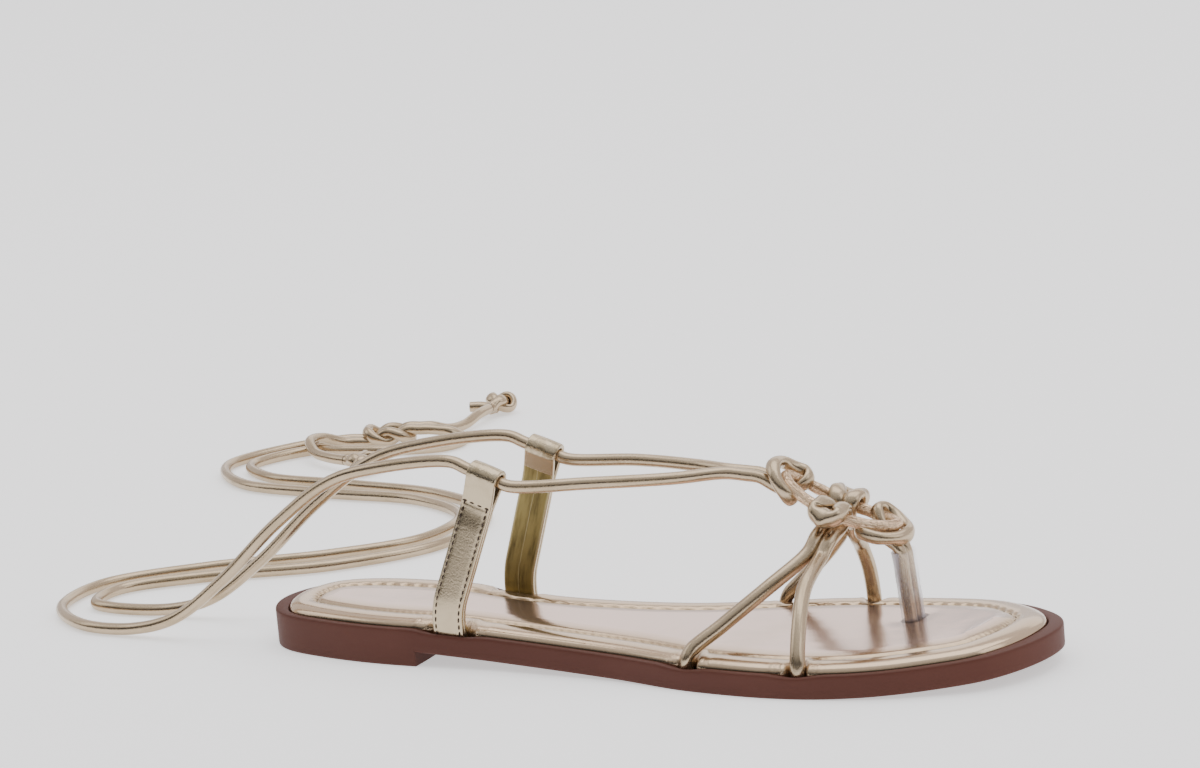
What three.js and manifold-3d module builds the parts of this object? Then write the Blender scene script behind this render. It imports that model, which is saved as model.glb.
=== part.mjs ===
// A flat lace-up thong sandal for the right foot, in millimetres.
// Drawn from the back of the heel: +X runs to the toe, +Y to the medial side, +Z up from the floor.

import * as THREE from "three";
import Module from "manifold-3d";
import { mergeVertices } from "three/addons/utils/BufferGeometryUtils.js";

const wasm = await Module();
wasm.setup();

// Fit between neighbouring pieces
const CLEAR = 0.3;
const ENTRY_ROOM = 0.45;
const ENTRY_DEPTH = 1;

// Sole
const SOLE_LENGTH = 252;
const BALL_WIDTH = 80;
const WAIST_WIDTH = 46;
const HEEL_WIDTH = 50;
const SOLE_WALL = 6.9;
const HEEL_LIFT = 4.5;
const HEEL_BLOCK = 60;
const TOE_SPRING = 4.4;
const SEAT_DEPTH = 2.4;
const SIDE_SHELF = 2.4;
const END_SHELF = 4.8;

// Padded footbed
const FOOTBED_THICKNESS = 4.7;
const RIM_BAND = 8.5;

// Cords
const CORD = 3.8;
const FOREFOOT_CORD = 4.4;
const RING_CORD = 3.6;
const CORD_SET_IN = 4.6;
const POST_SLEEVE_WALL = 0.5;

// Instep ring
const RING_LENGTH = 39;
const RING_WIDTH = 17.5;
const RING_SAG = 2.6;
const RING_FROM_HEEL = 185.2;
const RING_OFF_MIDDLE = 11;
const RING_HEIGHT = 45.2;
const RING_TILT = 24;
const RING_TURN = 6.4;

// Where the cords and tabs enter the sole, from the back of the heel
const REAR_LATERAL_CORD = 152;
const FRONT_LATERAL_CORD = 188;
const REAR_MEDIAL_CORD = 156;
const FRONT_MEDIAL_CORD = 182;
const POST_FROM_HEEL = 203;
const POST_OFF_MIDDLE = 15;
const LATERAL_TAB = 71;
const MEDIAL_TAB = 74;

// Ankle tabs: a strap folded over itself round the tie
const TAB_WIDTH = 10;
const TAB_STRAP = 1.4;
const TAB_HEIGHT = 54.5;
const TAB_LEAN = 16;
const LATERAL_TAB_INWARD = 7;
const MEDIAL_TAB_INWARD = 3;
const TAB_SET_IN = 3.4;
const TAB_UPRIGHT = 9;

const SIDES = 8;
const cordRadius = CORD / 2;
const forefootRadius = FOREFOOT_CORD / 2;
const ringRadius = RING_CORD / 2;

const clamp = (x, low, high) => Math.min(high, Math.max(low, x));
const vec = (x, y, z) => new THREE.Vector3(x, y, z);

// Solids from geometries, and back

function solidOf(geometry) {
  const plain = geometry.index ? geometry.clone() : geometry;
  plain.deleteAttribute("normal");
  plain.deleteAttribute("uv");
  const merged = mergeVertices(plain, 1e-4);
  const vertProperties = Float32Array.from(merged.attributes.position.array);
  const triVerts = Uint32Array.from(merged.index.array);
  const make = () => new wasm.Manifold(new wasm.Mesh({ numProp: 3, vertProperties, triVerts }));
  const solid = make();
  if (solid.volume() >= 0) return solid;
  for (let i = 0; i < triVerts.length; i += 3) {
    [triVerts[i], triVerts[i + 1]] = [triVerts[i + 1], triVerts[i]];
  }
  return make();
}

function meshOf(name, solid, material) {
  const data = solid.getMesh();
  const geometry = new THREE.BufferGeometry();
  geometry.setAttribute("position", new THREE.BufferAttribute(data.vertProperties, 3));
  geometry.setIndex(new THREE.BufferAttribute(data.triVerts, 1));
  geometry.computeVertexNormals();
  const mesh = new THREE.Mesh(geometry, material);
  mesh.name = name;
  return mesh;
}

const joined = (solids) => solids.reduce((all, next) => all.add(next));

// Sole outline: each row is a station along the foot, and how far the edge lies to either side
// of the middle line there, as shares of the width that the row follows.
const WIDTHS = { heel: HEEL_WIDTH, waist: WAIST_WIDTH, ball: BALL_WIDTH };
const OUTLINE = [
  { along: 0, of: "heel", medial: 0, lateral: 0 },
  { along: 0.03, of: "heel", medial: 0.33, lateral: 0.32 },
  { along: 0.1, of: "heel", medial: 0.46, lateral: 0.46 },
  { along: 0.2, of: "heel", medial: 0.46, lateral: 0.54 },
  { along: 0.35, of: "waist", medial: 0.41, lateral: 0.6 },
  { along: 0.5, of: "ball", medial: 0.3, lateral: 0.385 },
  { along: 0.62, of: "ball", medial: 0.43, lateral: 0.46 },
  { along: 0.72, of: "ball", medial: 0.505, lateral: 0.485 },
  { along: 0.82, of: "ball", medial: 0.52, lateral: 0.445 },
  { along: 0.9, of: "ball", medial: 0.46, lateral: 0.355 },
  { along: 0.96, of: "ball", medial: 0.32, lateral: 0.24 },
  { along: 1, of: "ball", medial: 0.07, lateral: -0.07 },
];

// A smooth line through the rows, measured round the end curves so that heel and toe come out round.
const turnOf = (along) => Math.acos(1 - 2 * clamp(along, 0, 1)) / Math.PI;

function throughRows(knots, values) {
  const last = knots.length - 1;
  const slopes = knots.map((k, i) => {
    const a = Math.max(0, i - 1);
    const b = Math.min(last, i + 1);
    return (values[b] - values[a]) / (knots[b] - knots[a]);
  });
  return (at) => {
    let i = 0;
    while (i < last - 1 && at > knots[i + 1]) i += 1;
    const span = knots[i + 1] - knots[i];
    const s = clamp((at - knots[i]) / span, 0, 1);
    const rise = values[i] * (1 + 2 * s) + span * slopes[i] * s;
    const fall = values[i + 1] * (3 - 2 * s) + span * slopes[i + 1] * (s - 1);
    return rise * (1 - s) ** 2 + fall * s ** 2;
  };
}

const outlineKnots = OUTLINE.map((row) => turnOf(row.along));
const medialLine = throughRows(outlineKnots, OUTLINE.map((row) => row.medial * WIDTHS[row.of]));
const lateralLine = throughRows(outlineKnots, OUTLINE.map((row) => -row.lateral * WIDTHS[row.of]));

function edgeAt(x, side) {
  const line = side > 0 ? medialLine : lateralLine;
  return line(turnOf(x / SOLE_LENGTH));
}

// Points round the sole edge, from the back of the heel along the lateral side and home along
// the medial side, each with the direction that faces out of the sole.
const EDGE_STEPS = 30;

function soleEdge() {
  const points = [];
  for (let i = 0; i < 2 * EDGE_STEPS; i += 1) {
    const lateral = i <= EDGE_STEPS;
    const turn = (lateral ? i : 2 * EDGE_STEPS - i) / EDGE_STEPS;
    const x = ((1 - Math.cos(turn * Math.PI)) / 2) * SOLE_LENGTH;
    points.push(new THREE.Vector2(x, lateral ? lateralLine(turn) : medialLine(turn)));
  }
  return points.map((point, i) => {
    const before = points[(i + points.length - 1) % points.length];
    const after = points[(i + 1) % points.length];
    const along = after.clone().sub(before).normalize();
    return { point, out: new THREE.Vector2(along.y, -along.x) };
  });
}

const edge = soleEdge();

// The shelf of rubber that shows round the footbed is narrow at the sides and wide at the ends.
const shelfAt = (out) => SIDE_SHELF + (END_SHELF - SIDE_SHELF) * out.x ** 2;
const insetEdge = (inset) =>
  edge.map(({ point, out }) => point.clone().addScaledVector(out, -inset(out)));

// Heights of the sole along the foot
const WAIST_END = 0.6;
const BALL_END = 0.74;
const WAIST_FALL = 1.4;
const TOE_RISE = 1.8;

function undersideAt(x) {
  const waistEnd = WAIST_END * SOLE_LENGTH;
  const ballEnd = BALL_END * SOLE_LENGTH;
  if (x <= HEEL_BLOCK) return HEEL_LIFT;
  if (x < waistEnd) return HEEL_LIFT * ((waistEnd - x) / (waistEnd - HEEL_BLOCK)) ** WAIST_FALL;
  if (x <= ballEnd) return 0;
  return TOE_SPRING * (clamp((x - ballEnd) / (SOLE_LENGTH - ballEnd), 0, 1.1)) ** TOE_RISE;
}

const rimAt = (x) => undersideAt(x) + SOLE_WALL;
const seatAt = (x) => rimAt(x) - SEAT_DEPTH;
const SPAN_PAST = 20;

function heightStations() {
  const stations = [-SPAN_PAST, HEEL_BLOCK];
  const waistSteps = 7;
  const toeSteps = 7;
  for (let i = 1; i <= waistSteps; i += 1) {
    stations.push(HEEL_BLOCK + (i / waistSteps) * (WAIST_END * SOLE_LENGTH - HEEL_BLOCK));
  }
  for (let i = 0; i <= toeSteps; i += 1) {
    stations.push((BALL_END + (i / toeSteps) * (1 - BALL_END)) * SOLE_LENGTH);
  }
  stations.push(SOLE_LENGTH + 2);
  return stations;
}

function prismUp(points, low, high) {
  const geometry = new THREE.ExtrudeGeometry(new THREE.Shape(points), {
    depth: high - low,
    bevelEnabled: false,
  });
  geometry.translate(0, 0, low);
  return solidOf(geometry);
}

// A side view drawn in X and Z, carried across the whole width of the foot
function prismAcross(points) {
  const geometry = new THREE.ExtrudeGeometry(new THREE.Shape(points), {
    depth: 2 * BALL_WIDTH,
    bevelEnabled: false,
  });
  geometry.rotateX(Math.PI / 2);
  geometry.translate(0, BALL_WIDTH, 0);
  return solidOf(geometry);
}

function soleSideView() {
  const stations = heightStations();
  const top = stations.map((x) => new THREE.Vector2(x, rimAt(x))).reverse();
  const under = stations.filter((x) => x > HEEL_BLOCK).map((x) => new THREE.Vector2(x, undersideAt(x)));
  return [
    new THREE.Vector2(-SPAN_PAST, 0),
    new THREE.Vector2(HEEL_BLOCK, 0),
    new THREE.Vector2(HEEL_BLOCK, HEEL_LIFT),
    ...under,
    ...top,
  ];
}

function seatSideView() {
  const stations = heightStations();
  const low = stations.map((x) => new THREE.Vector2(x, seatAt(x)));
  const high = 4 * SOLE_WALL + HEEL_LIFT;
  return [...low, new THREE.Vector2(SOLE_LENGTH + 2, high), new THREE.Vector2(-SPAN_PAST, high)];
}

function makeOutsole() {
  const tall = 5 * SOLE_WALL;
  const block = prismUp(edge.map(({ point }) => point), -1, tall).intersect(prismAcross(soleSideView()));
  const seat = prismUp(insetEdge(shelfAt), 0, tall).intersect(prismAcross(seatSideView()));
  return block.subtract(seat);
}

// Footbed section, from its lower edge up over the rolled rim, through the stitched channel and
// onto the padded middle: inset as a share of the rim band, height as a share of the thickness.
const FOOTBED = [
  { inset: 0, height: 0 },
  { inset: 0, height: 0.42 },
  { inset: 0.09, height: 0.68 },
  { inset: 0.3, height: 0.87 },
  { inset: 0.62, height: 0.92 },
  { inset: 0.9, height: 0.84 },
  { inset: 1.02, height: 0.72 },
  { inset: 1.18, height: 0.84 },
  { inset: 1.7, height: 0.97 },
];
const CROWN_HEIGHT = 1;

function makeFootbed() {
  const ring = edge.length;
  const positions = [];
  const seatGap = (x) => seatAt(x) + CLEAR;
  for (const row of FOOTBED) {
    for (const point of insetEdge((out) => shelfAt(out) + CLEAR + row.inset * RIM_BAND)) {
      positions.push(point.x, point.y, seatGap(point.x) + row.height * FOOTBED_THICKNESS);
    }
  }
  const indices = [];
  const quad = (a, b, c, d) => indices.push(a, b, c, a, c, d);
  for (let level = 0; level + 1 < FOOTBED.length; level += 1) {
    for (let i = 0; i < ring; i += 1) {
      const next = (i + 1) % ring;
      const low = level * ring;
      quad(low + i, low + next, low + ring + next, low + ring + i);
    }
  }
  // Underside: lateral and medial points of one station are joined straight across
  for (let i = 0; i < EDGE_STEPS; i += 1) {
    const across = (k) => (ring - k) % ring;
    if (i > 0 && i < EDGE_STEPS - 1) quad(i, across(i), across(i + 1), i + 1);
    if (i === 0) indices.push(0, across(1), 1);
    if (i === EDGE_STEPS - 1) indices.push(i, across(i), EDGE_STEPS);
  }
  // Crown: a middle line between the last ring's two sides, a little higher than they are
  const top = (FOOTBED.length - 1) * ring;
  const at = (i, axis) => positions[3 * (top + (i % ring)) + axis];
  const middle = [];
  for (let i = 1; i < EDGE_STEPS; i += 1) {
    const x = (at(i, 0) + at(ring - i, 0)) / 2;
    middle.push(positions.length / 3);
    positions.push(x, (at(i, 1) + at(ring - i, 1)) / 2, seatGap(x) + CROWN_HEIGHT * FOOTBED_THICKNESS);
  }
  for (let i = 1; i < EDGE_STEPS - 1; i += 1) {
    quad(top + i, top + i + 1, middle[i], middle[i - 1]);
    quad(top + ring - i - 1, top + ring - i, middle[i - 1], middle[i]);
  }
  const heelTip = top;
  const toeTip = top + EDGE_STEPS;
  indices.push(heelTip, top + 1, middle[0], heelTip, middle[0], top + ring - 1);
  const lastMiddle = middle[EDGE_STEPS - 2];
  indices.push(top + EDGE_STEPS - 1, toeTip, lastMiddle, toeTip, top + EDGE_STEPS + 1, lastMiddle);
  const geometry = new THREE.BufferGeometry();
  geometry.setAttribute("position", new THREE.BufferAttribute(new Float32Array(positions), 3));
  geometry.setIndex(indices);
  return solidOf(geometry);
}

// A path that is walked in short steps where it bends and in long ones where it runs straight
class PacedPath extends THREE.Curve {
  constructor(path, finest, longest) {
    super();
    this.path = path;
    const length = path.getLength();
    const count = Math.ceil(length / 0.5);
    const heads = [];
    for (let i = 0; i <= count; i += 1) heads.push(path.getTangentAt(i / count));
    const stations = [0];
    let walked = 0;
    for (let i = 1; i <= count; i += 1) {
      const piece = length / count;
      const turned = heads[i].angleTo(heads[i - 1]);
      walked += Math.max(piece / longest, Math.min(piece / finest, turned / 0.55));
      stations.push(walked);
    }
    this.steps = Math.max(2, Math.ceil(walked));
    this.stations = stations.map((value) => value / walked);
  }

  getPoint(t, target = new THREE.Vector3()) {
    const stations = this.stations;
    const last = stations.length - 1;
    let i = 0;
    while (i < last - 1 && stations[i + 1] < t) i += 1;
    const s = clamp((t - stations[i]) / (stations[i + 1] - stations[i]), 0, 1);
    return target.copy(this.path.getPointAt((i + s) / last));
  }

  getPointAt(u, target) {
    return this.getPoint(u, target);
  }

  getTangentAt(u, target) {
    return this.getTangent(u, target);
  }

  getSpacedPoints(divisions) {
    return Array.from({ length: divisions + 1 }, (_, i) => this.getPoint(i / divisions));
  }
}

function roundSection(radius) {
  const points = [];
  for (let i = 0; i < SIDES; i += 1) {
    const angle = ((i + 0.5) / SIDES) * 2 * Math.PI;
    points.push(new THREE.Vector2(radius * Math.cos(angle), radius * Math.sin(angle)));
  }
  return new THREE.Shape(points);
}

function cordSolid(points, radius = cordRadius, finest = 1.6, longest = 9) {
  const path = new THREE.CatmullRomCurve3(points, false, "centripetal");
  path.arcLengthDivisions = 30 * points.length;
  const paced = new PacedPath(path, finest, longest);
  const geometry = new THREE.ExtrudeGeometry(roundSection(radius), {
    steps: paced.steps,
    extrudePath: paced,
    bevelEnabled: false,
  });
  return solidOf(geometry);
}

// Instep ring: an oval of cord that tilts down to the toe
const rad = THREE.MathUtils.degToRad;
const ringForward = vec(1, 0, 0)
  .applyAxisAngle(vec(0, 1, 0), rad(RING_TILT))
  .applyAxisAngle(vec(0, 0, 1), rad(RING_TURN));
const ringMedial = vec(0, 1, 0).applyAxisAngle(vec(0, 0, 1), rad(RING_TURN));
const ringNormal = ringForward.clone().cross(ringMedial);
const ringMiddle = vec(RING_FROM_HEEL, RING_OFF_MIDDLE, RING_HEIGHT);
const ringLong = (RING_LENGTH - RING_CORD) / 2;
const ringShort = (RING_WIDTH - RING_CORD) / 2;

function ringPlace(angle, outward = 0, up = 0) {
  const along = Math.cos(angle);
  const across = Math.sin(angle);
  const facing = new THREE.Vector2(along / ringLong, across / ringShort).normalize();
  return ringMiddle
    .clone()
    .addScaledVector(ringForward, ringLong * along + facing.x * outward)
    .addScaledVector(ringMedial, ringShort * across + facing.y * outward)
    .addScaledVector(ringNormal, up - RING_SAG * across ** 2);
}

function makeRing() {
  const torus = new THREE.TorusGeometry(ringLong, ringRadius, SIDES, 28);
  const position = torus.attributes.position;
  for (let i = 0; i < position.count; i += 1) {
    const x = position.getX(i);
    const y = position.getY(i);
    const place = ringPlace(Math.atan2(y, x), Math.hypot(x, y) - ringLong, position.getZ(i));
    position.setXYZ(i, place.x, place.y, place.z);
  }
  return solidOf(torus);
}

// Cow hitch round the ring. The doubled cord comes in along the way down, passes behind the ring,
// goes round it on both sides and closes in a collar over its own two legs. Each row is a point of
// one strand: side, down and front, in cord spacings; the second strand mirrors the side.
const SIDE_HITCH = [
  { side: -0.54, down: 3.3, front: -0.45 },
  { side: -0.54, down: 1.9, front: -0.5 },
  { side: -0.55, down: 0.7, front: -0.98 },
  { side: -0.58, down: -0.25, front: -0.9 },
  { side: -0.6, down: -0.82, front: -0.1 },
  { side: -0.8, down: -0.35, front: 0.75 },
  { side: -1.15, down: 0.25, front: 1 },
  { side: -0.85, down: 0.78, front: 1.1 },
  { side: 0, down: 0.88, front: 1.1 },
];

// At the ring's two ends, one strand loops over the ring's medial side and the other tucks under
// its lateral side.
const POST_OVER = [
  { side: -0.54, down: 3.3, front: 0.2 },
  { side: -0.54, down: 1.9, front: 0.12 },
  { side: -0.52, down: 0.75, front: -1.05 },
  { side: -0.6, down: -0.35, front: -1.75 },
  { side: -1.15, down: -1.05, front: -2.15 },
  { side: -1.95, down: -0.85, front: -1.9 },
  { side: -2.15, down: -0.1, front: -1.05 },
  { side: -1.6, down: 0.45, front: -0.1 },
  { side: -0.85, down: 0.8, front: 0.6 },
  { side: 0, down: 0.9, front: 0.8 },
];
const POST_UNDER = [
  { side: -0.54, down: 3.3, front: 0.2 },
  { side: -0.54, down: 1.9, front: 0.12 },
  { side: -0.52, down: 0.9, front: -1.05 },
  { side: -0.6, down: 0.3, front: -1.9 },
  { side: -1.1, down: -0.1, front: -2.55 },
  { side: -1.75, down: -0.15, front: -2.7 },
  { side: -2.2, down: 0, front: -2 },
  { side: -2.25, down: 0.35, front: -1.05 },
  { side: -1.65, down: 0.62, front: -0.15 },
  { side: -0.85, down: 0.85, front: 0.55 },
  { side: 0, down: 0.9, front: 0.8 },
];
const TIE_UNDER = [
  { side: -0.54, down: 3.3, front: -0.1 },
  { side: -0.54, down: 2.1, front: -0.15 },
  { side: -0.5, down: 0.9, front: -0.75 },
  { side: -0.5, down: -0.1, front: -1.15 },
  { side: -0.85, down: -0.85, front: -1.65 },
  { side: -1.45, down: -0.95, front: -1.55 },
  { side: -1.85, down: -0.4, front: -0.85 },
  { side: -1.6, down: 0.35, front: 0 },
  { side: -0.85, down: 0.9, front: 0.75 },
  { side: 0, down: 1.05, front: 1 },
];
const TIE_OVER = [
  { side: -0.54, down: 3.3, front: -0.1 },
  { side: -0.54, down: 2.1, front: -0.15 },
  { side: -0.55, down: 0.85, front: -0.85 },
  { side: -0.6, down: -0.35, front: -1.1 },
  { side: -0.75, down: -1.3, front: -0.8 },
  { side: -1.4, down: -1.6, front: -0.25 },
  { side: -1.9, down: -1.05, front: -0.1 },
  { side: -1.75, down: -0.1, front: 0.3 },
  { side: -1.15, down: 0.65, front: 0.8 },
  { side: 0, down: 1.05, front: 1 },
];
const stepOf = (hitch) => (hitch.radius + ringRadius) * 0.96;
const sideOf = (hitch) => hitch.down.clone().cross(hitch.front).normalize();

function hitchPlace(hitch, row, mirror = 1) {
  const step = stepOf(hitch);
  return ringPlace(hitch.angle)
    .addScaledVector(sideOf(hitch), mirror * row.side * step)
    .addScaledVector(hitch.down, row.down * step)
    .addScaledVector(hitch.front, row.front * step);
}

function hitchPath(hitch, legs) {
  const first = hitch.rows.map((row) => hitchPlace(hitch, row));
  const second = hitch.others.slice(0, -1).map((row) => hitchPlace(hitch, row, -1)).reverse();
  return [...legs.first, ...first, ...second, ...legs.second];
}

// The toe post stands between the first two toes and leans back a little to the ring.
const postFoot = vec(POST_FROM_HEEL, POST_OFF_MIDDLE, seatAt(POST_FROM_HEEL) + 2 * CLEAR);

// The hitches' directions: the way their legs leave, and the side that the collar shows on
const ROUND = Math.PI;
const HITCHES = {
  post: {
    angle: 0,
    rows: POST_OVER,
    others: POST_UNDER,
    radius: cordRadius,
    down: postFoot.clone().sub(ringPlace(0)),
    front: vec(1, 0, 0.1),
  },
  lateral: {
    angle: -0.5 * ROUND,
    rows: SIDE_HITCH,
    others: SIDE_HITCH,
    radius: forefootRadius,
    down: vec(-0.25, -0.72, -0.78),
    front: vec(0.1, -0.72, 0.72),
  },
  medial: {
    angle: 0.5 * ROUND,
    rows: SIDE_HITCH,
    others: SIDE_HITCH,
    radius: forefootRadius,
    down: vec(-0.2, 0.6, -0.8),
    front: vec(0.1, 0.8, 0.6),
  },
  tie: {
    angle: ROUND,
    rows: TIE_UNDER,
    others: TIE_OVER,
    radius: cordRadius,
    down: vec(-1, -0.12, 0.1),
    front: vec(0.1, 0, 1),
  },
};

for (const hitch of Object.values(HITCHES)) {
  hitch.down.normalize();
  hitch.front.addScaledVector(hitch.down, -hitch.front.dot(hitch.down)).normalize();
}

// A forefoot cord's leg: its foot stands inside the sole edge, just clear of the seat. Above that
// the rear leg runs nearly straight to the hitch, and the front leg bows out on its way.
const STRAIGHT = [
  { share: 0.3, out: 0.6, up: 0.4 },
  { share: 0.65, out: 0.6, up: 0.4 },
];
const BOWED = [
  { share: 0.3, out: 1.8, up: 2.3 },
  { share: 0.65, out: 2, up: 1.5 },
];

function legPoints(hitch, side, x, bow, deeper = 0) {
  const y = edgeAt(x, side) - side * CORD_SET_IN;
  const rise = vec(x, y, rimAt(x) + 2);
  const goal = ringPlace(hitch.angle).addScaledVector(hitch.down, hitch.rows[0].down * stepOf(hitch));
  const bowed = bow.map((row) => rise.clone().lerp(goal, row.share).add(vec(0, side * row.out, row.up)));
  return [vec(x, y, seatAt(x) + CLEAR - deeper), rise, ...bowed];
}

function forefootPair(hitch, side, rearX, frontX) {
  const rear = legPoints(hitch, side, rearX, STRAIGHT);
  const front = legPoints(hitch, side, frontX, BOWED);
  const legs = sideOf(hitch).x < 0 ? [front, rear] : [rear, front];
  return hitchPath(hitch, { first: legs[0], second: legs[1].slice().reverse() });
}

const postSpacing = -POST_OVER[0].side * stepOf(HITCHES.post);

function postLine() {
  const { post } = HITCHES;
  const top = hitchPlace(post, { ...POST_OVER[0], side: 0 });
  const reach = (top.z - postFoot.z) / -post.down.z;
  return { foot: top.clone().addScaledVector(post.down, reach), top };
}

function postPath() {
  const { post } = HITCHES;
  const { foot, top } = postLine();
  const leg = (sign) => [0, 0.4, 0.8].map((share) =>
    foot.clone().lerp(top, share).addScaledVector(sideOf(post), sign * postSpacing),
  );
  return hitchPath(post, { first: leg(-1), second: leg(1).reverse() });
}

function makeUpper() {
  const { lateral, medial, tie } = HITCHES;
  return joined([
    makeRing(),
    cordSolid(postPath()),
    cordSolid(forefootPair(lateral, -1, REAR_LATERAL_CORD, FRONT_LATERAL_CORD), forefootRadius),
    cordSolid(forefootPair(medial, 1, REAR_MEDIAL_CORD, FRONT_MEDIAL_CORD), forefootRadius),
    cordSolid(hitchPath(tie, { first: [], second: [] })),
  ]);
}

// Toe-post sleeve: a clear oval tube round the pair of cords
function stadium(halfGap, radius) {
  const points = [];
  const steps = 8;
  for (const end of [1, -1]) {
    for (let i = 0; i <= steps; i += 1) {
      const angle = (i / steps) * Math.PI + (end > 0 ? 0 : Math.PI);
      points.push(new THREE.Vector2(radius * Math.cos(angle), end * halfGap + radius * Math.sin(angle)));
    }
  }
  return points;
}

const sleeveInner = cordRadius + CLEAR;
const sleeveOuter = sleeveInner + POST_SLEEVE_WALL;

function leaningOval(radius, low, high) {
  const geometry = new THREE.ExtrudeGeometry(new THREE.Shape(stadium(postSpacing, radius)), {
    depth: high - low,
    bevelEnabled: false,
  });
  const { foot, top } = postLine();
  const lean = top.clone().sub(foot).divideScalar(top.z - foot.z);
  const position = geometry.attributes.position;
  for (let i = 0; i < position.count; i += 1) {
    const z = position.getZ(i) + low;
    const rise = z - foot.z;
    position.setXYZ(i, position.getX(i) + foot.x + lean.x * rise, position.getY(i) + foot.y + lean.y * rise, z);
  }
  return solidOf(geometry);
}

// The sleeve runs from the footbed's seat up to the collar of the post's hitch.
function makeSleeve() {
  const low = postFoot.z;
  const collar = POST_OVER[POST_OVER.length - 1].down * stepOf(HITCHES.post) + cordRadius;
  const high = ringPlace(0).z - collar - 9 * CLEAR;
  return leaningOval(sleeveOuter, low, high).subtract(leaningOval(sleeveInner, low - 1, high + 1));
}

const postHole = () => leaningOval(sleeveOuter + CLEAR, 0, 6 * SOLE_WALL);

// Ankle tab: its head in its own side view (thickness, height), a teardrop round the tie
const loopInner = cordRadius + CLEAR;
const loopOuter = loopInner + TAB_STRAP;
const loopHeight = TAB_HEIGHT - loopOuter;
const neckHeight = loopHeight - 2.2 * loopOuter;
const ARC_STEPS = 10;

function teardrop(radius, stem) {
  const points = [...stem];
  for (let i = 0; i <= ARC_STEPS; i += 1) {
    const angle = rad(-24 + (i / ARC_STEPS) * 228);
    points.push(new THREE.Vector2(radius * Math.cos(angle), loopHeight + radius * Math.sin(angle)));
  }
  return points;
}

const headStem = () => [-TAB_STRAP, TAB_STRAP].flatMap((x) => {
  const ends = [new THREE.Vector2(x, neckHeight), new THREE.Vector2(x, neckHeight - 1)];
  return x < 0 ? ends : ends.reverse();
});
const holeStem = () => [new THREE.Vector2(0, loopHeight - 1.9 * loopInner)];

// The tab stands up out of the sole, then leans forward and in over the foot.
function tabPlace(x, side) {
  const y = edgeAt(x, side) - side * TAB_SET_IN;
  const base = seatAt(x) + CLEAR;
  const inward = side > 0 ? -MEDIAL_TAB_INWARD : LATERAL_TAB_INWARD;
  const lean = vec(TAB_LEAN, inward, TAB_HEIGHT - TAB_UPRIGHT).normalize();
  const fan = (height) => clamp((height - TAB_UPRIGHT * 0.5) / TAB_UPRIGHT, 0, 1);
  return (across, thick, height) => {
    const share = fan(height);
    const up = vec(0, 0, 1).lerp(lean, share).normalize();
    const width = vec(1, 0, 0).addScaledVector(up, -up.x).normalize();
    const out = up.clone().cross(width);
    const ramp = (share ** 2 / 2) * TAB_UPRIGHT;
    const straight = Math.max(0, height - TAB_UPRIGHT * 1.5);
    const leaned = ramp + straight;
    const risen = Math.min(height, TAB_UPRIGHT * 0.5) + (share - share ** 2 / 2) * TAB_UPRIGHT;
    return vec(x, y, base + risen)
      .addScaledVector(lean, leaned)
      .addScaledVector(width, across)
      .addScaledVector(out, thick);
  };
}

function placed(geometry, place) {
  const position = geometry.attributes.position;
  for (let i = 0; i < position.count; i += 1) {
    const spot = place(position.getX(i), position.getY(i), position.getZ(i));
    position.setXYZ(i, spot.x, spot.y, spot.z);
  }
  return solidOf(geometry);
}

function strapShank(place, grow, below) {
  const width = TAB_WIDTH + 2 * grow;
  const thick = 2 * (TAB_STRAP + grow);
  const geometry = new THREE.BoxGeometry(width, thick, neckHeight, 1, 1, 10);
  geometry.translate(0, 0, neckHeight / 2);
  return placed(geometry, (across, out, height) => place(across, out, height < 0.01 ? -below : height));
}

function strapHead(place, sideView, width) {
  const shape = new THREE.Shape(sideView);
  const geometry = new THREE.ExtrudeGeometry(shape, { depth: width, steps: 1, bevelEnabled: false });
  return placed(geometry, (out, height, across) => place(across - width / 2, out, height));
}

const tabRoom = (x, side) => strapShank(tabPlace(x, side), CLEAR, CLEAR + ENTRY_DEPTH);

function makeTab(x, side) {
  const place = tabPlace(x, side);
  const head = strapHead(place, teardrop(loopOuter, headStem()), TAB_WIDTH);
  const hole = strapHead(place, teardrop(loopInner, holeStem()), TAB_WIDTH + 2);
  return strapShank(place, 0, 0).add(head).subtract(hole);
}

// Held spans of the ties: from the rear hitch's legs, straight through the tabs' loops
const SPAN_SAG = [
  { share: 0.3, out: 1.5, up: 0.6 },
  { share: 0.65, out: 2.5, up: 0.9 },
];

function spanPoints(x, side, reach) {
  const { tie } = HITCHES;
  const mirror = Math.sign(sideOf(tie).y) * -side;
  const start = hitchPlace(tie, TIE_UNDER[0], mirror).addScaledVector(tie.down, CLEAR);
  const place = tabPlace(x, side);
  return [
    start,
    start.clone().addScaledVector(tie.down, 6),
    ...SPAN_SAG.map((row) =>
      start.clone().lerp(place(TAB_WIDTH, 0, loopHeight), row.share).add(vec(0, side * row.out, row.up)),
    ),
    place(TAB_WIDTH * 0.8, 0, loopHeight),
    place(0, 0, loopHeight),
    place(-reach, 0, loopHeight),
  ];
}

const SPAN_PAST_TAB = TAB_WIDTH / 2 + 1.5;

function makeSpan(x, side) {
  return cordSolid(spanPoints(x, side, SPAN_PAST_TAB));
}

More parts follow.
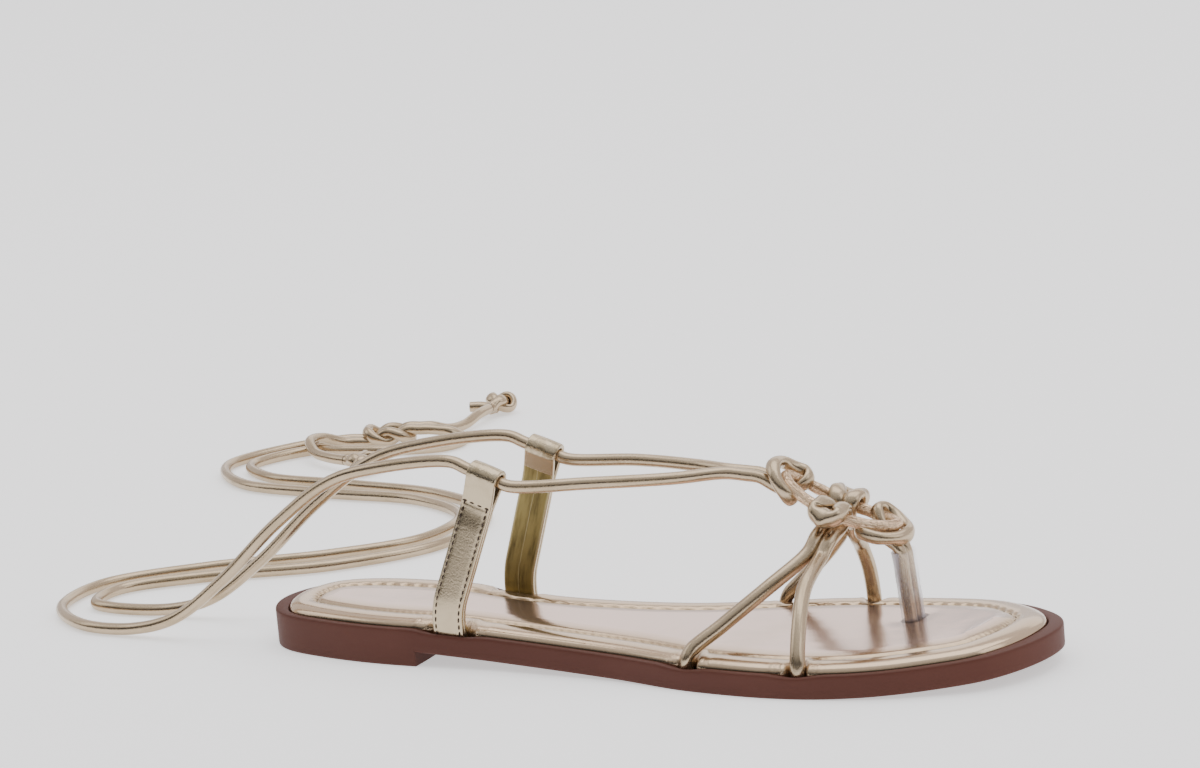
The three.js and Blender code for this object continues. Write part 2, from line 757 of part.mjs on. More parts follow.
// Free ties: from each loop they drop over the back of the heel, then lie on the floor in a loose
// zigzag. The first rows are the fall of each tie, the next ones the line on the floor that both
// follow, the medial tie as far inside it as the row says.
const onFloor = cordRadius + 0.2;
const FALL = [
  { x: 48, in: 1, z: 58 },
  { x: 30, in: 2, z: 53 },
  { x: 9, in: 3, z: 39 },
  { x: -13, in: 3.5, z: 20 },
  { x: -32, in: 4, z: 7 },
  { x: -48, in: 4.5, z: onFloor + 0.6 },
];
const LIE = [
  { x: -68, y: -10, apart: 14 },
  { x: -88, y: 8, apart: 11 },
  { x: -89, y: 34, apart: 10 },
  { x: -64, y: 58, apart: 12 },
  { x: -30, y: 78, apart: 14 },
  { x: -8, y: 100, apart: 11 },
  { x: -8, y: 128, apart: 9 },
  { x: -34, y: 147, apart: 9 },
  { x: -74, y: 152, apart: 12 },
  { x: -112, y: 160, apart: 11 },
  { x: -132, y: 184, apart: 9 },
  { x: -121, y: 211, apart: 10 },
];

function floorLine(share) {
  return LIE.map((row, i) => {
    const before = LIE[Math.max(0, i - 1)];
    const after = LIE[Math.min(LIE.length - 1, i + 1)];
    const along = vec(after.x - before.x, after.y - before.y, 0).normalize();
    return vec(row.x + along.y * row.apart * share, row.y - along.x * row.apart * share, onFloor);
  });
}

// Reef knot: two bights of cord through each other, lying flat. Along, across and up are in cord
// diameters from the knot's middle; the second bight is the first one turned half round.
const KNOT_MIDDLE = vec(-90, 227, onFloor + 0.45 * CORD);
const KNOT_HEADING = 22;
const BIGHT = [
  { along: -3, across: 0.62, up: -0.4 },
  { along: -1.7, across: 0.6, up: -0.45 },
  { along: 0, across: 0.95, up: 0.45 },
  { along: 1.3, across: 1.25, up: 0.05 },
  { along: 1.95, across: 0.7, up: -0.45 },
  { along: 2.1, across: 0, up: -0.45 },
];

function knotPlace(row, turned = 1) {
  return vec(row.along * turned, row.across, row.up * turned)
    .multiplyScalar(CORD)
    .applyAxisAngle(vec(0, 0, 1), rad(KNOT_HEADING))
    .add(KNOT_MIDDLE);
}

function bightPoints(turned) {
  const first = BIGHT.map((row) => knotPlace(row, turned));
  const second = BIGHT.slice(0, -1).map((row) => knotPlace({ ...row, across: -row.across }, turned));
  return [...first, ...second.reverse()];
}

// Overhand knot at each tail's end: a three-lobed loop with the tail coming in at one lobe
const LOOP_STEPS = 18;
const LOOP_WIDE = 0.42;
const LOOP_HIGH = 0.53;

function overhandPoints(foot, heading) {
  const points = [vec(0, -5.6, 0), vec(0, -4.4, 0)];
  for (let i = 0; i <= LOOP_STEPS; i += 1) {
    const t = Math.PI + 0.22 + (i / LOOP_STEPS) * (2 * Math.PI - 0.44);
    const x = Math.sin(t) + 2 * Math.sin(2 * t);
    const y = Math.cos(t) - 2 * Math.cos(2 * t);
    points.push(vec(x, y, (-Math.sin(3 * t) * LOOP_HIGH) / LOOP_WIDE));
  }
  points.push(vec(-2.6, -4, 0), vec(-5.2, -5, 0.1));
  return points.map((point) =>
    point
      .add(vec(0, 5.6, 0))
      .multiplyScalar(LOOP_WIDE * CORD)
      .applyAxisAngle(vec(0, 0, 1), rad(heading - 90))
      .add(foot),
  );
}

const KNOT_GAP = 0.3;
// The rows of a route by hand, on the floor or over another cord
const route = (rows) => rows.map((row) => vec(row.x, row.y, row.z));
const ROUND_KNOT = [
  { x: -98, y: 209, z: onFloor },
  { x: -78, y: 212, z: onFloor },
  { x: -63, y: 219, z: onFloor },
  { x: -61, y: 230, z: onFloor },
  { x: -69, y: 234, z: onFloor + 1.6 },
];
const LATERAL_TAIL = [
  { x: -109, y: 212, z: onFloor + 3.6 },
  { x: -109, y: 203, z: onFloor + CORD + 0.8 },
  { x: -103, y: 196, z: onFloor + 2.4 },
  { x: -94, y: 191, z: onFloor + 2 },
  { x: -86, y: 188, z: onFloor + 2.1 },
];
const MEDIAL_TAIL = [
  { x: -73, y: 240, z: onFloor + 1 },
  { x: -71, y: 249, z: onFloor + 0.4 },
  { x: -70, y: 258, z: onFloor + 2 },
  { x: -70, y: 266, z: onFloor + 2.1 },
];

// Two points straight out of the end of a cord's path, the first of them just clear of it
function outOf(end, next) {
  const direction = end.clone().sub(next).normalize();
  return [end.clone().addScaledVector(direction, KNOT_GAP), end.clone().addScaledVector(direction, CORD)];
}

const startOf = (points) => outOf(points[0], points[1]);
const endOf = (points) => outOf(points[points.length - 1], points[points.length - 2]);

function spanEnd(x, side) {
  const place = tabPlace(x, side);
  return [place(-SPAN_PAST_TAB - CLEAR, 0, loopHeight), place(-SPAN_PAST_TAB - 6, 0, loopHeight)];
}

function fallPoints(x, side) {
  const y = spanEnd(x, side)[1].y;
  return [...spanEnd(x, side), ...FALL.map((row) => vec(row.x, y - side * row.in, row.z))];
}

const [lateralBight, medialBight] = [bightPoints(1), bightPoints(-1)];
const runLateral = [...fallPoints(LATERAL_TAB, -1), ...floorLine(0), ...startOf(lateralBight).reverse()];
const runMedial = [
  ...fallPoints(MEDIAL_TAB, 1),
  ...floorLine(1).slice(1),
  ...route(ROUND_KNOT),
  ...endOf(medialBight).reverse(),
];
const tailLateral = [...endOf(lateralBight), ...route(LATERAL_TAIL)];
const tailMedial = [...startOf(medialBight), ...route(MEDIAL_TAIL)];

// The knot is drawn tight, so its turns press into each other: it is joined from short arcs.
const KNOT_ARCS = 5;
const ARC_POINTS = 16;

function endKnot(tail) {
  const [before, end] = tail.slice(-2);
  const heading = THREE.MathUtils.radToDeg(Math.atan2(end.y - before.y, end.x - before.x));
  const step = end.clone().sub(before).normalize().multiplyScalar(KNOT_GAP);
  const path = new THREE.CatmullRomCurve3(overhandPoints(end.clone().add(step), heading), false, "centripetal");
  const line = path.getSpacedPoints(KNOT_ARCS * ARC_POINTS);
  const arcs = [];
  for (let i = 0; i < KNOT_ARCS; i += 1) {
    const last = (i + 1) * ARC_POINTS + (i < KNOT_ARCS - 1 ? 2 : 1);
    arcs.push(cordSolid(line.slice(i * ARC_POINTS, last), cordRadius, 2.4));
  }
  return joined(arcs);
}

// Materials
const gold = (roughness) => new THREE.MeshStandardMaterial({ color: 0xc9b48c, roughness, metalness: 0.9 });
const rubber = new THREE.MeshStandardMaterial({ color: 0x6e4238, roughness: 0.6, metalness: 0 });
const clear = new THREE.MeshStandardMaterial({ color: 0xe9e6ec, roughness: 0.15, metalness: 0 });

// Room for what enters the sole
function footRoom() {
  const { lateral, medial } = HITCHES;
  const legs = [
    legPoints(lateral, -1, REAR_LATERAL_CORD, STRAIGHT, CLEAR + ENTRY_DEPTH),
    legPoints(lateral, -1, FRONT_LATERAL_CORD, BOWED, CLEAR + ENTRY_DEPTH),
    legPoints(medial, 1, REAR_MEDIAL_CORD, STRAIGHT, CLEAR + ENTRY_DEPTH),
    legPoints(medial, 1, FRONT_MEDIAL_CORD, BOWED, CLEAR + ENTRY_DEPTH),
  ];
  const cords = legs.map((points) => cordSolid(points, forefootRadius + ENTRY_ROOM));
  return joined([...cords, tabRoom(LATERAL_TAB, -1), tabRoom(MEDIAL_TAB, 1)]);
}

const room = footRoom();
const sandal = new THREE.Group();
const shoe = new THREE.Group();
shoe.add(meshOf("outsole", makeOutsole().subtract(room), rubber));
shoe.add(meshOf("insole", makeFootbed().subtract(room).subtract(postHole()), gold(0.3)));
shoe.add(meshOf("upper", makeUpper(), gold(0.35)));
shoe.add(meshOf("toe_post_sleeve", makeSleeve(), clear));
shoe.add(meshOf("ankle_tab_lateral", makeTab(LATERAL_TAB, -1), gold(0.35)));
shoe.add(meshOf("ankle_tab_medial", makeTab(MEDIAL_TAB, 1), gold(0.35)));
shoe.add(meshOf("tie_span_lateral", makeSpan(LATERAL_TAB, -1), gold(0.35)));
shoe.add(meshOf("tie_span_medial", makeSpan(MEDIAL_TAB, 1), gold(0.35)));

const runSolid = (points) => cordSolid(points, cordRadius, 7, 13);
shoe.add(meshOf("tie_run_lateral", runSolid(runLateral), gold(0.35)));
shoe.add(meshOf("tie_run_medial", runSolid(runMedial), gold(0.35)));
shoe.add(meshOf("tie_knot", cordSolid(lateralBight).add(cordSolid(medialBight)), gold(0.35)));
shoe.add(meshOf("tie_tail_lateral", runSolid(tailLateral), gold(0.35)));
shoe.add(meshOf("tie_tail_medial", runSolid(tailMedial), gold(0.35)));
shoe.add(meshOf("end_knot_lateral", endKnot(tailLateral), gold(0.35)));
shoe.add(meshOf("end_knot_medial", endKnot(tailMedial), gold(0.35)));

// The origin is on the floor, under the middle of the sole's outline.
const soleBox = new THREE.Box2().setFromPoints(edge.map(({ point }) => point));
const middle = soleBox.getCenter(new THREE.Vector2());
shoe.position.set(-middle.x, -middle.y, 0);
sandal.add(shoe);

export default sandal;
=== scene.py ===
"""A flat lace-up thong sandal for the right foot, in gold foil leather on a brown rubber sole.

The dressed model is drawn in millimetres from the back of the heel, as the part's source is, with
+X to the toe, +Y to the medial side and +Z up from the floor. `Placing.to_row` carries every point
into the row frame in metres, where each piece's place is in its mesh.
"""

import logging
import math
from dataclasses import dataclass, field
from enum import Enum

import bmesh
import bpy
import numpy as np
from mathutils import Matrix, Vector


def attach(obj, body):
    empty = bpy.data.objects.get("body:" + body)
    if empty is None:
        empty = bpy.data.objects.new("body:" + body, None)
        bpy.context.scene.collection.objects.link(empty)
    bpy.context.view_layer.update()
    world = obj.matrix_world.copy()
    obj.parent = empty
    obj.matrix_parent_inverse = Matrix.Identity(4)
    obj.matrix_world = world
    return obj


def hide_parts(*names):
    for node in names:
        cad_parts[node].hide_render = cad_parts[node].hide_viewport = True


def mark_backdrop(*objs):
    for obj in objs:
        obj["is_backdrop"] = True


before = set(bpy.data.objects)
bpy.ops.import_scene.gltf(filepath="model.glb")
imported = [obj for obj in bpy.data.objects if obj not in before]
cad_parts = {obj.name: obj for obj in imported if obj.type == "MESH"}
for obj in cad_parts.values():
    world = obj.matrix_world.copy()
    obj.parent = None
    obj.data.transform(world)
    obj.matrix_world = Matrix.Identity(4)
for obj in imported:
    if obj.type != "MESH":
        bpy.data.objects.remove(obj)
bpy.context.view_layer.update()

log = logging.getLogger("sandal")

MM = 0.001
Points = np.ndarray
Object = bpy.types.Object
Material = bpy.types.Material
Socket = bpy.types.NodeSocket


class Side(Enum):
    """A side of the right foot, with the sign of its Y."""

    LATERAL = -1
    MEDIAL = 1

    @property
    def label(self) -> str:
        """The side in the names of pieces and nodes."""
        return self.name.lower()


class Slot(Enum):
    """The record's material slots."""

    RUBBER = "rubber"
    FOOTBED = "footbed"
    CORD = "cord"
    SLEEVE = "sleeve"


# Sizes that several pieces share: the cords' diameters, where the toe post enters the footbed, and how
# far from the back of the heel the forefoot cords and the tabs go down on each side.
TIE_CORD = 3.8
FOREFOOT_CORD = 4.4
POST = (203, 15)
CORD_STATIONS = {Side.LATERAL: (152, 188), Side.MEDIAL: (156, 182)}
TAB_STATIONS = {Side.LATERAL: 71, Side.MEDIAL: 74}


# ---------------------------------------------------------------------------------------------
# Small geometry tools
# ---------------------------------------------------------------------------------------------


def vec(x: float, y: float, z: float) -> Points:
    """A point or direction from its three numbers."""
    return np.array([x, y, z], float)


def unit(v: Points) -> Points:
    """The direction of v, one long."""
    return v / np.linalg.norm(v)


def units(rows: Points) -> Points:
    """The direction of each row, one long."""
    return rows / np.linalg.norm(rows, axis=1)[:, None]


def run_along(points: Points) -> Points:
    """How far along a line each of its points lies."""
    return np.concatenate([[0], np.cumsum(np.linalg.norm(np.diff(points, axis=0), axis=1))])


def across_neighbours(rows: Points) -> Points:
    """From the row before each one to the row after it, or from or to itself at an end."""
    at = np.arange(len(rows))
    return rows[np.minimum(at + 1, len(rows) - 1)] - rows[np.maximum(at - 1, 0)]


def settled(line: Points, times: int) -> Points:
    """A line with its points drawn towards their neighbours, over and over, and its ends kept."""
    line = line.copy()
    for _ in range(times):
        line[1:-1] = (line[:-2] + 2 * line[1:-1] + line[2:]) / 4
    return line


def ease(value: Points, low: float, high: float) -> Points:
    """A smooth step from 0 at low to 1 at high."""
    s = np.clip((np.asarray(value, float) - low) / (high - low), 0, 1)
    return s * s * (3 - 2 * s)


def bell(value: Points, width: float, power: float = 2) -> Points:
    """A hump of height 1 round zero, about width to each side."""
    return np.exp(-np.abs(np.asarray(value, float) / width) ** power)


def turned(points: Points, degrees: float) -> Points:
    """Points turned about Z."""
    c, s = math.cos(math.radians(degrees)), math.sin(math.radians(degrees))
    return points @ np.array([[c, s, 0], [-s, c, 0], [0, 0, 1]])


def into_scene(name: str, data: bpy.types.ID) -> Object:
    """Makes an object of some data and links it into the scene."""
    made = bpy.data.objects.new(name, data)
    bpy.context.scene.collection.objects.link(made)
    return made


@dataclass(frozen=True)
class Smooth:
    """A centripetal spline through points, the one that the part's cords follow.

    Args:
        points: The points that it passes through, in order.
        per_span: How many short chords stand for one span while it is measured.
    """

    points: Points
    per_span: int = 48

    def dense(self) -> Points:
        """The spline in short chords."""
        p = np.asarray(self.points, float)
        p = np.vstack([2 * p[0] - p[1], p, 2 * p[-1] - p[-2]])
        s = np.linspace(0, 1, self.per_span, endpoint=False)[:, None]
        spans = []
        for i in range(1, len(p) - 2):
            a, b, c, d = p[i - 1], p[i], p[i + 1], p[i + 2]
            t0, t1, t2 = (math.sqrt(np.linalg.norm(q - r)) for q, r in ((b, a), (c, b), (d, c)))
            start = ((b - a) / t0 - (c - a) / (t0 + t1) + (c - b) / t1) * t1
            end = ((c - b) / t1 - (d - b) / (t1 + t2) + (d - c) / t2) * t1
            square, cube = -3 * b + 3 * c - 2 * start - end, 2 * b - 2 * c + start + end
            spans.append(b + s * start + s**2 * square + s**3 * cube)
        return np.vstack([*spans, p[-2][None]])

    def walk(self, step: float) -> Points:
        """Points at even steps along the spline.

        Args:
            step: The length of a step.

        Returns:
            The points, the spline's two ends among them.
        """
        line = self.dense()
        run = run_along(line)
        at = np.linspace(0, run[-1], max(2, int(round(run[-1] / step))) + 1)
        return np.column_stack([np.interp(at, run, line[:, k]) for k in range(3)])


@dataclass(frozen=True)
class Placing:
    """Carries points from the heel's frame in millimetres to the row frame in metres.

    Args:
        middle: The middle of the sole's outline, in X and Y.
    """

    middle: tuple[float, float]

    def to_row(self, points: Points) -> Points:
        """Points of the row frame, in metres."""
        return (np.asarray(points, float) - np.array([*self.middle, 0])) * MM


@dataclass
class Shell:
    """A closed skin under construction: points, faces, and what the materials read from it."""

    points: list[Points] = field(default_factory=list)
    faces: list[tuple[int, ...]] = field(default_factory=list)
    paints: list[int] = field(default_factory=list)
    uvs: list[list[tuple[float, float]]] = field(default_factory=list)
    marks: dict[str, list[Points]] = field(default_factory=dict)
    count: int = 0

    def add(self, points: Points, **marks: Points) -> np.ndarray:
        """Adds points.

        Args:
            points: An array whose last axis is X, Y, Z.
            **marks: A number for each point, under the name that a material reads.

        Returns:
            The points' numbers, in the array's own shape.
        """
        flat = np.asarray(points, float).reshape(-1, 3)
        self.points.append(flat)
        for name, values in marks.items():
            self.marks.setdefault(name, [np.zeros(self.count)]).append(np.asarray(values, float).reshape(-1))
        self.count += len(flat)
        for held in self.marks.values():
            missing = self.count - sum(len(v) for v in held)
            if missing:
                held.append(np.zeros(missing))
        return np.arange(self.count - len(flat), self.count).reshape(np.asarray(points).shape[:-1])

    def face(
        self, corners: tuple[int, ...], paint: int = 0, uv: list[tuple[float, float]] | None = None
    ) -> None:
        """Adds one face with its material number and its corners' places on the UV map."""
        self.faces.append(tuple(int(c) for c in corners))
        self.paints.append(paint)
        self.uvs.append(uv or [(0.0, 0.0)] * len(corners))

    def sheet(
        self,
        grid: np.ndarray,
        close: bool = False,
        paint: int | np.ndarray = 0,
        u: Points | None = None,
        v: Points | None = None,
    ) -> None:
        """Joins a grid of points with four-cornered faces.

        Args:
            grid: Point numbers in rows and columns.
            close: Whether the last column joins the first.
            paint: The material number, one for all or one for each face.
            u: A UV place for each column, and one more for the join where it closes.
            v: A UV place for each row.
        """
        rows, columns = grid.shape
        last = columns if close else columns - 1
        u = np.zeros(columns + 1) if u is None else u
        v = np.zeros(rows) if v is None else v
        paints = np.broadcast_to(paint, (rows - 1, last))
        for r in range(rows - 1):
            for c in range(last):
                n = (c + 1) % columns
                self.face(
                    (grid[r, c], grid[r, n], grid[r + 1, n], grid[r + 1, c]),
                    int(paints[r, c]),
                    [(u[c], v[r]), (u[c + 1], v[r]), (u[c + 1], v[r + 1]), (u[c], v[r + 1])],
                )

    def fan(self, ring: np.ndarray, middle: int, paint: int = 0) -> None:
        """Closes a ring of points with triangles round a middle point."""
        for i, corner in enumerate(ring):
            self.face((corner, ring[(i + 1) % len(ring)], middle), paint)

    def build(
        self, name: str, placing: Placing, finishes: list[Material], crease: float = 40
    ) -> Object:
        """Makes the object.

        Args:
            name: The piece's name.
            placing: How the points come into the row frame.
            finishes: The materials, in the order of the material numbers.
            crease: The angle in degrees past which an edge stays sharp.

        Returns:
            The object, at the origin, with its faces outwards.
        """
        mesh = bpy.data.meshes.new(name)
        mesh.from_pydata(placing.to_row(np.vstack(self.points)).tolist(), [], self.faces)
        layer = mesh.uv_layers.new(name="UVMap")
        layer.data.foreach_set("uv", np.array([p for face in self.uvs for p in face], np.float32).reshape(-1))
        mesh.polygons.foreach_set("material_index", self.paints)
        for mark, values in self.marks.items():
            attribute = mesh.attributes.new(mark, "FLOAT", "POINT")
            attribute.data.foreach_set("value", np.concatenate(values).astype(np.float32))
        for finish in finishes:
            mesh.materials.append(finish)
        work = bmesh.new()
        work.from_mesh(mesh)
        bmesh.ops.recalc_face_normals(work, faces=work.faces)
        work.to_mesh(mesh)
        work.free()
        mesh.shade_smooth()
        mesh.set_sharp_from_angle(angle=math.radians(crease))
        return into_scene(name, mesh)


def enter(piece: Object, slot: Slot, *nodes: str) -> Object:
    """Lets a piece ride on the sandal and stand for CAD nodes, and logs it.

    Args:
        piece: The finished piece.
        slot: The record's slot for it; not used.
        *nodes: The CAD nodes that it stands for.

    Returns:
        The same piece.
    """
    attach(piece, "root")
    if nodes:
        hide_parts(*nodes)
    triangles = sum(len(p.vertices) - 2 for p in piece.data.polygons)
    log.info("%s: %d triangles, for %s", piece.name, triangles, ", ".join(nodes) or "no node")
    return piece


# ---------------------------------------------------------------------------------------------
# Materials
# ---------------------------------------------------------------------------------------------

Colour = tuple[float, float, float]


class Value:
    """A number that varies over a surface, with Python's arithmetic."""

    def __init__(self, nodes: "Nodes", socket: Socket) -> None:
        """Wraps a node's output socket."""
        self.nodes = nodes
        self.socket = socket

    def _maths(self, operation: str, a: "Value | float", b: "Value | float") -> "Value":
        """One Math node between two values."""
        made = self.nodes.node("ShaderNodeMath", {"operation": operation}, {0: a, 1: b})
        return Value(self.nodes, made.outputs[0])

    def __add__(self, other: "Value | float") -> "Value":
        """self + other."""
        return self._maths("ADD", self, other)

    def __radd__(self, other: float) -> "Value":
        """other + self."""
        return self._maths("ADD", other, self)

    def __sub__(self, other: "Value | float") -> "Value":
        """self - other."""
        return self._maths("SUBTRACT", self, other)

    def __rsub__(self, other: float) -> "Value":
        """other - self."""
        return self._maths("SUBTRACT", other, self)

    def __mul__(self, other: "Value | float") -> "Value":
        """self * other."""
        return self._maths("MULTIPLY", self, other)

    def __pow__(self, power: float) -> "Value":
        """self ** power."""
        return self._maths("POWER", self, power)

    def __abs__(self) -> "Value":
        """The size of the value."""
        return self._maths("ABSOLUTE", self, 0.0)

    def at_least(self, other: "Value | float") -> "Value":
        """The greater of the two."""
        return self._maths("MAXIMUM", self, other)

    def ease(self, low: float, high: float) -> "Value":
        """A smooth step from 0 at low to 1 at high, or back where high is the lower."""
        back = high < low
        made = self.nodes.node(
            "ShaderNodeMapRange",
            {"interpolation_type": "SMOOTHSTEP"},
            {"Value": self, "From Min": min(low, high), "From Max": max(low, high)},
        )
        rise = Value(self.nodes, made.outputs["Result"])
        return 1.0 - rise if back else rise


class Nodes:
    """Makes and links the nodes of one tree."""

    def __init__(self, tree: bpy.types.NodeTree) -> None:
        """Takes the tree to work in."""
        self.tree = tree

    def node(self, kind: str, settings: dict | None = None, inputs: dict | None = None) -> bpy.types.Node:
        """Makes a node.

        Args:
            kind: The node's type.
            settings: Its own settings, with `stops` for a ramp's stops as (place, colour).
            inputs: Values or links for its sockets, by name or number.

        Returns:
            The node.
        """
        made = self.tree.nodes.new(kind)
        for key, value in (settings or {}).items():
            if key == "stops":
                stops = made.color_ramp.elements
                while len(stops) < len(value):
                    stops.new(0.5)
                for stop, (at, colour) in zip(stops, value):
                    stop.position, stop.color = at, (*colour, 1)
            else:
                setattr(made, key, value)
        for key, value in (inputs or {}).items():
            self.feed(made.inputs[key], value)
        return made

    def feed(self, socket: Socket, value: object) -> None:
        """Links a value to a socket, or sets a plain number or colour on it."""
        if isinstance(value, Value):
            self.tree.links.new(value.socket, socket)
        elif isinstance(value, Socket):
            self.tree.links.new(value, socket)
        elif isinstance(value, tuple) and len(value) == 3 and socket.type == "RGBA":
            socket.default_value = (*value, 1)
        else:
            socket.default_value = value

    def axis(self, vector: Socket, axis: str) -> Value:
        """One axis of a vector."""
        return Value(self, self.node("ShaderNodeSeparateXYZ", None, {0: vector}).outputs[axis])

    def mix(self, a: object, b: object, share: Value) -> Socket:
        """Colour a passing into colour b."""
        made = self.node("ShaderNodeMix", {"data_type": "RGBA"}, {0: share, 6: a, 7: b})
        return made.outputs[2]


class Shader(Nodes):
    """Builds one material's nodes."""

    def __init__(self, name: str) -> None:
        """Starts a material of that name with a bare Principled surface."""
        self.material = bpy.data.materials.new(name)
        self.material.use_nodes = True
        super().__init__(self.material.node_tree)
        self.surface = self.tree.nodes["Principled BSDF"]
        self.place = self.node("ShaderNodeTexCoord")

    def set(self, **sockets: object) -> None:
        """Feeds the surface's sockets, named with _ for each space."""
        names = {s.name.lower().replace(" ", "_"): s for s in self.surface.inputs}
        for key, value in sockets.items():
            self.feed(names[key], value)

    def stretch(self, place: str, scale: Colour) -> Socket:
        """The UV or Object coordinates with each axis multiplied."""
        inputs = {0: self.place.outputs[place], 1: scale}
        return self.node("ShaderNodeVectorMath", {"operation": "MULTIPLY"}, inputs).outputs[0]

    def noise(
        self,
        scale: float,
        detail: float = 3,
        roughness: float = 0.5,
        vector: Socket | None = None,
        swirl: float = 0,
    ) -> Value:
        """Cloudy noise on the piece's own coordinates, or on a vector given."""
        made = self.node(
            "ShaderNodeTexNoise",
            None,
            {
                "Vector": vector or self.place.outputs["Object"],
                "Scale": scale,
                "Detail": detail,
                "Roughness": roughness,
                "Distortion": swirl,
            },
        )
        return Value(self, made.outputs[0])

    def cells(self, scale: float) -> Value:
        """Distance to the nearest of a scatter of points."""
        inputs = {"Vector": self.place.outputs["Object"], "Scale": scale}
        return Value(self, self.node("ShaderNodeTexVoronoi", None, inputs).outputs["Distance"])

    def mark(self, name: str) -> Value:
        """A number stored on the piece's points."""
        made = self.node("ShaderNodeAttribute", {"attribute_name": name})
        return Value(self, made.outputs["Fac"])

    def bump(
        self, height: Value, depth: float, strength: float = 1, under: Socket | None = None
    ) -> Socket:
        """A normal raised by a height map.

        Args:
            height: The height, 0 to 1.
            depth: What 1 stands for, in metres.
            strength: How strongly it shows.
            under: The normal that it is laid over.

        Returns:
            The normal's socket.
        """
        inputs = {"Height": height, "Distance": depth, "Strength": strength}
        if under is not None:
            inputs["Normal"] = under
        return self.node("ShaderNodeBump", None, inputs).outputs["Normal"]


@dataclass(frozen=True)
class FoilCord:
    """Foil leather drawn round a cord: fine grain, lengthwise rubs, and creases inside its bends, darkened
    there with painted shade.
    """

    name: str
    light: Colour = (0.53, 0.415, 0.285)
    rubbed: Colour = (0.34, 0.255, 0.15)
    # painted shade: the colour that darkens the creases inside tight bends
    crease: Colour = (0.08, 0.055, 0.028)
    metallic: float = 0.92
    roughness: float = 0.19
    grain: float = 0.00006
    crinkle: float = 0.0001

    def material(self) -> Material:
        """Builds the material."""
        s = Shader(self.name)
        run = s.stretch("UV", (7, 55, 1))
        ribs = s.stretch("UV", (2.2, 900, 1))
        rubs = s.noise(1, 4, 0.62, run)
        rings = s.noise(1, 3, 0.55, ribs)
        grain = s.noise(1900, 3, 0.6)
        pores = s.cells(1500).ease(0.0, 0.5)
        patches = s.noise(70, 2)
        squeezed = s.mark("squeeze")
        worn = rubs.ease(0.45, 0.72) * 0.55 + patches.ease(0.5, 0.75) * 0.25
        colour = s.mix(self.light, self.rubbed, worn)
        # painted shade in the ring-shaped creases inside the bends, set by the squeeze mark
        dark = squeezed * rings.ease(0.46, 0.6) * 0.85
        s.set(
            base_color=s.mix(colour, self.crease, dark),
            metallic=self.metallic,
            roughness=self.roughness + worn * 0.13 + grain * 0.1 + dark * 0.2,
        )
        fine = s.bump(grain * 0.7 + pores * 0.3, self.grain, 0.55)
        bent = s.bump(rings * (0.12 + squeezed), self.crinkle, 0.8, fine)
        s.set(normal=bent)
        return s.material


@dataclass(frozen=True)
class FoilRing:
    """The peach foil on the instep ring, creased along its length, with painted shade in its creases."""

    name: str = "ring_foil"
    light: Colour = (0.98, 0.73, 0.5)
    # painted shade: the dark tan laid in the creases, where shade falls
    tan: Colour = (0.3, 0.165, 0.07)
    metallic: float = 0.8

    def material(self) -> Material:
        """Builds the material."""
        s = Shader(self.name)
        run = s.stretch("UV", (16, 90, 1))
        creases = s.noise(1, 5, 0.65, run, 0.6)
        cracks = s.noise(420, 4, 0.7, None, 1.5)
        line = (abs(cracks - 0.5)).ease(0.035, 0.0)
        grain = s.noise(1700, 3)
        # painted shade in the creases, and the dark crack lines
        crease_shade_and_cracks = creases.ease(0.42, 0.66) * 0.75 + line * 0.35
        s.set(
            base_color=s.mix(self.light, self.tan, crease_shade_and_cracks),
            metallic=self.metallic,
            roughness=0.17 + creases * 0.18,
        )
        fine = s.bump(grain, 0.00005, 0.4)
        s.set(normal=s.bump(creases - line * 0.3, 0.00035, 0.8, fine))
        return s.material


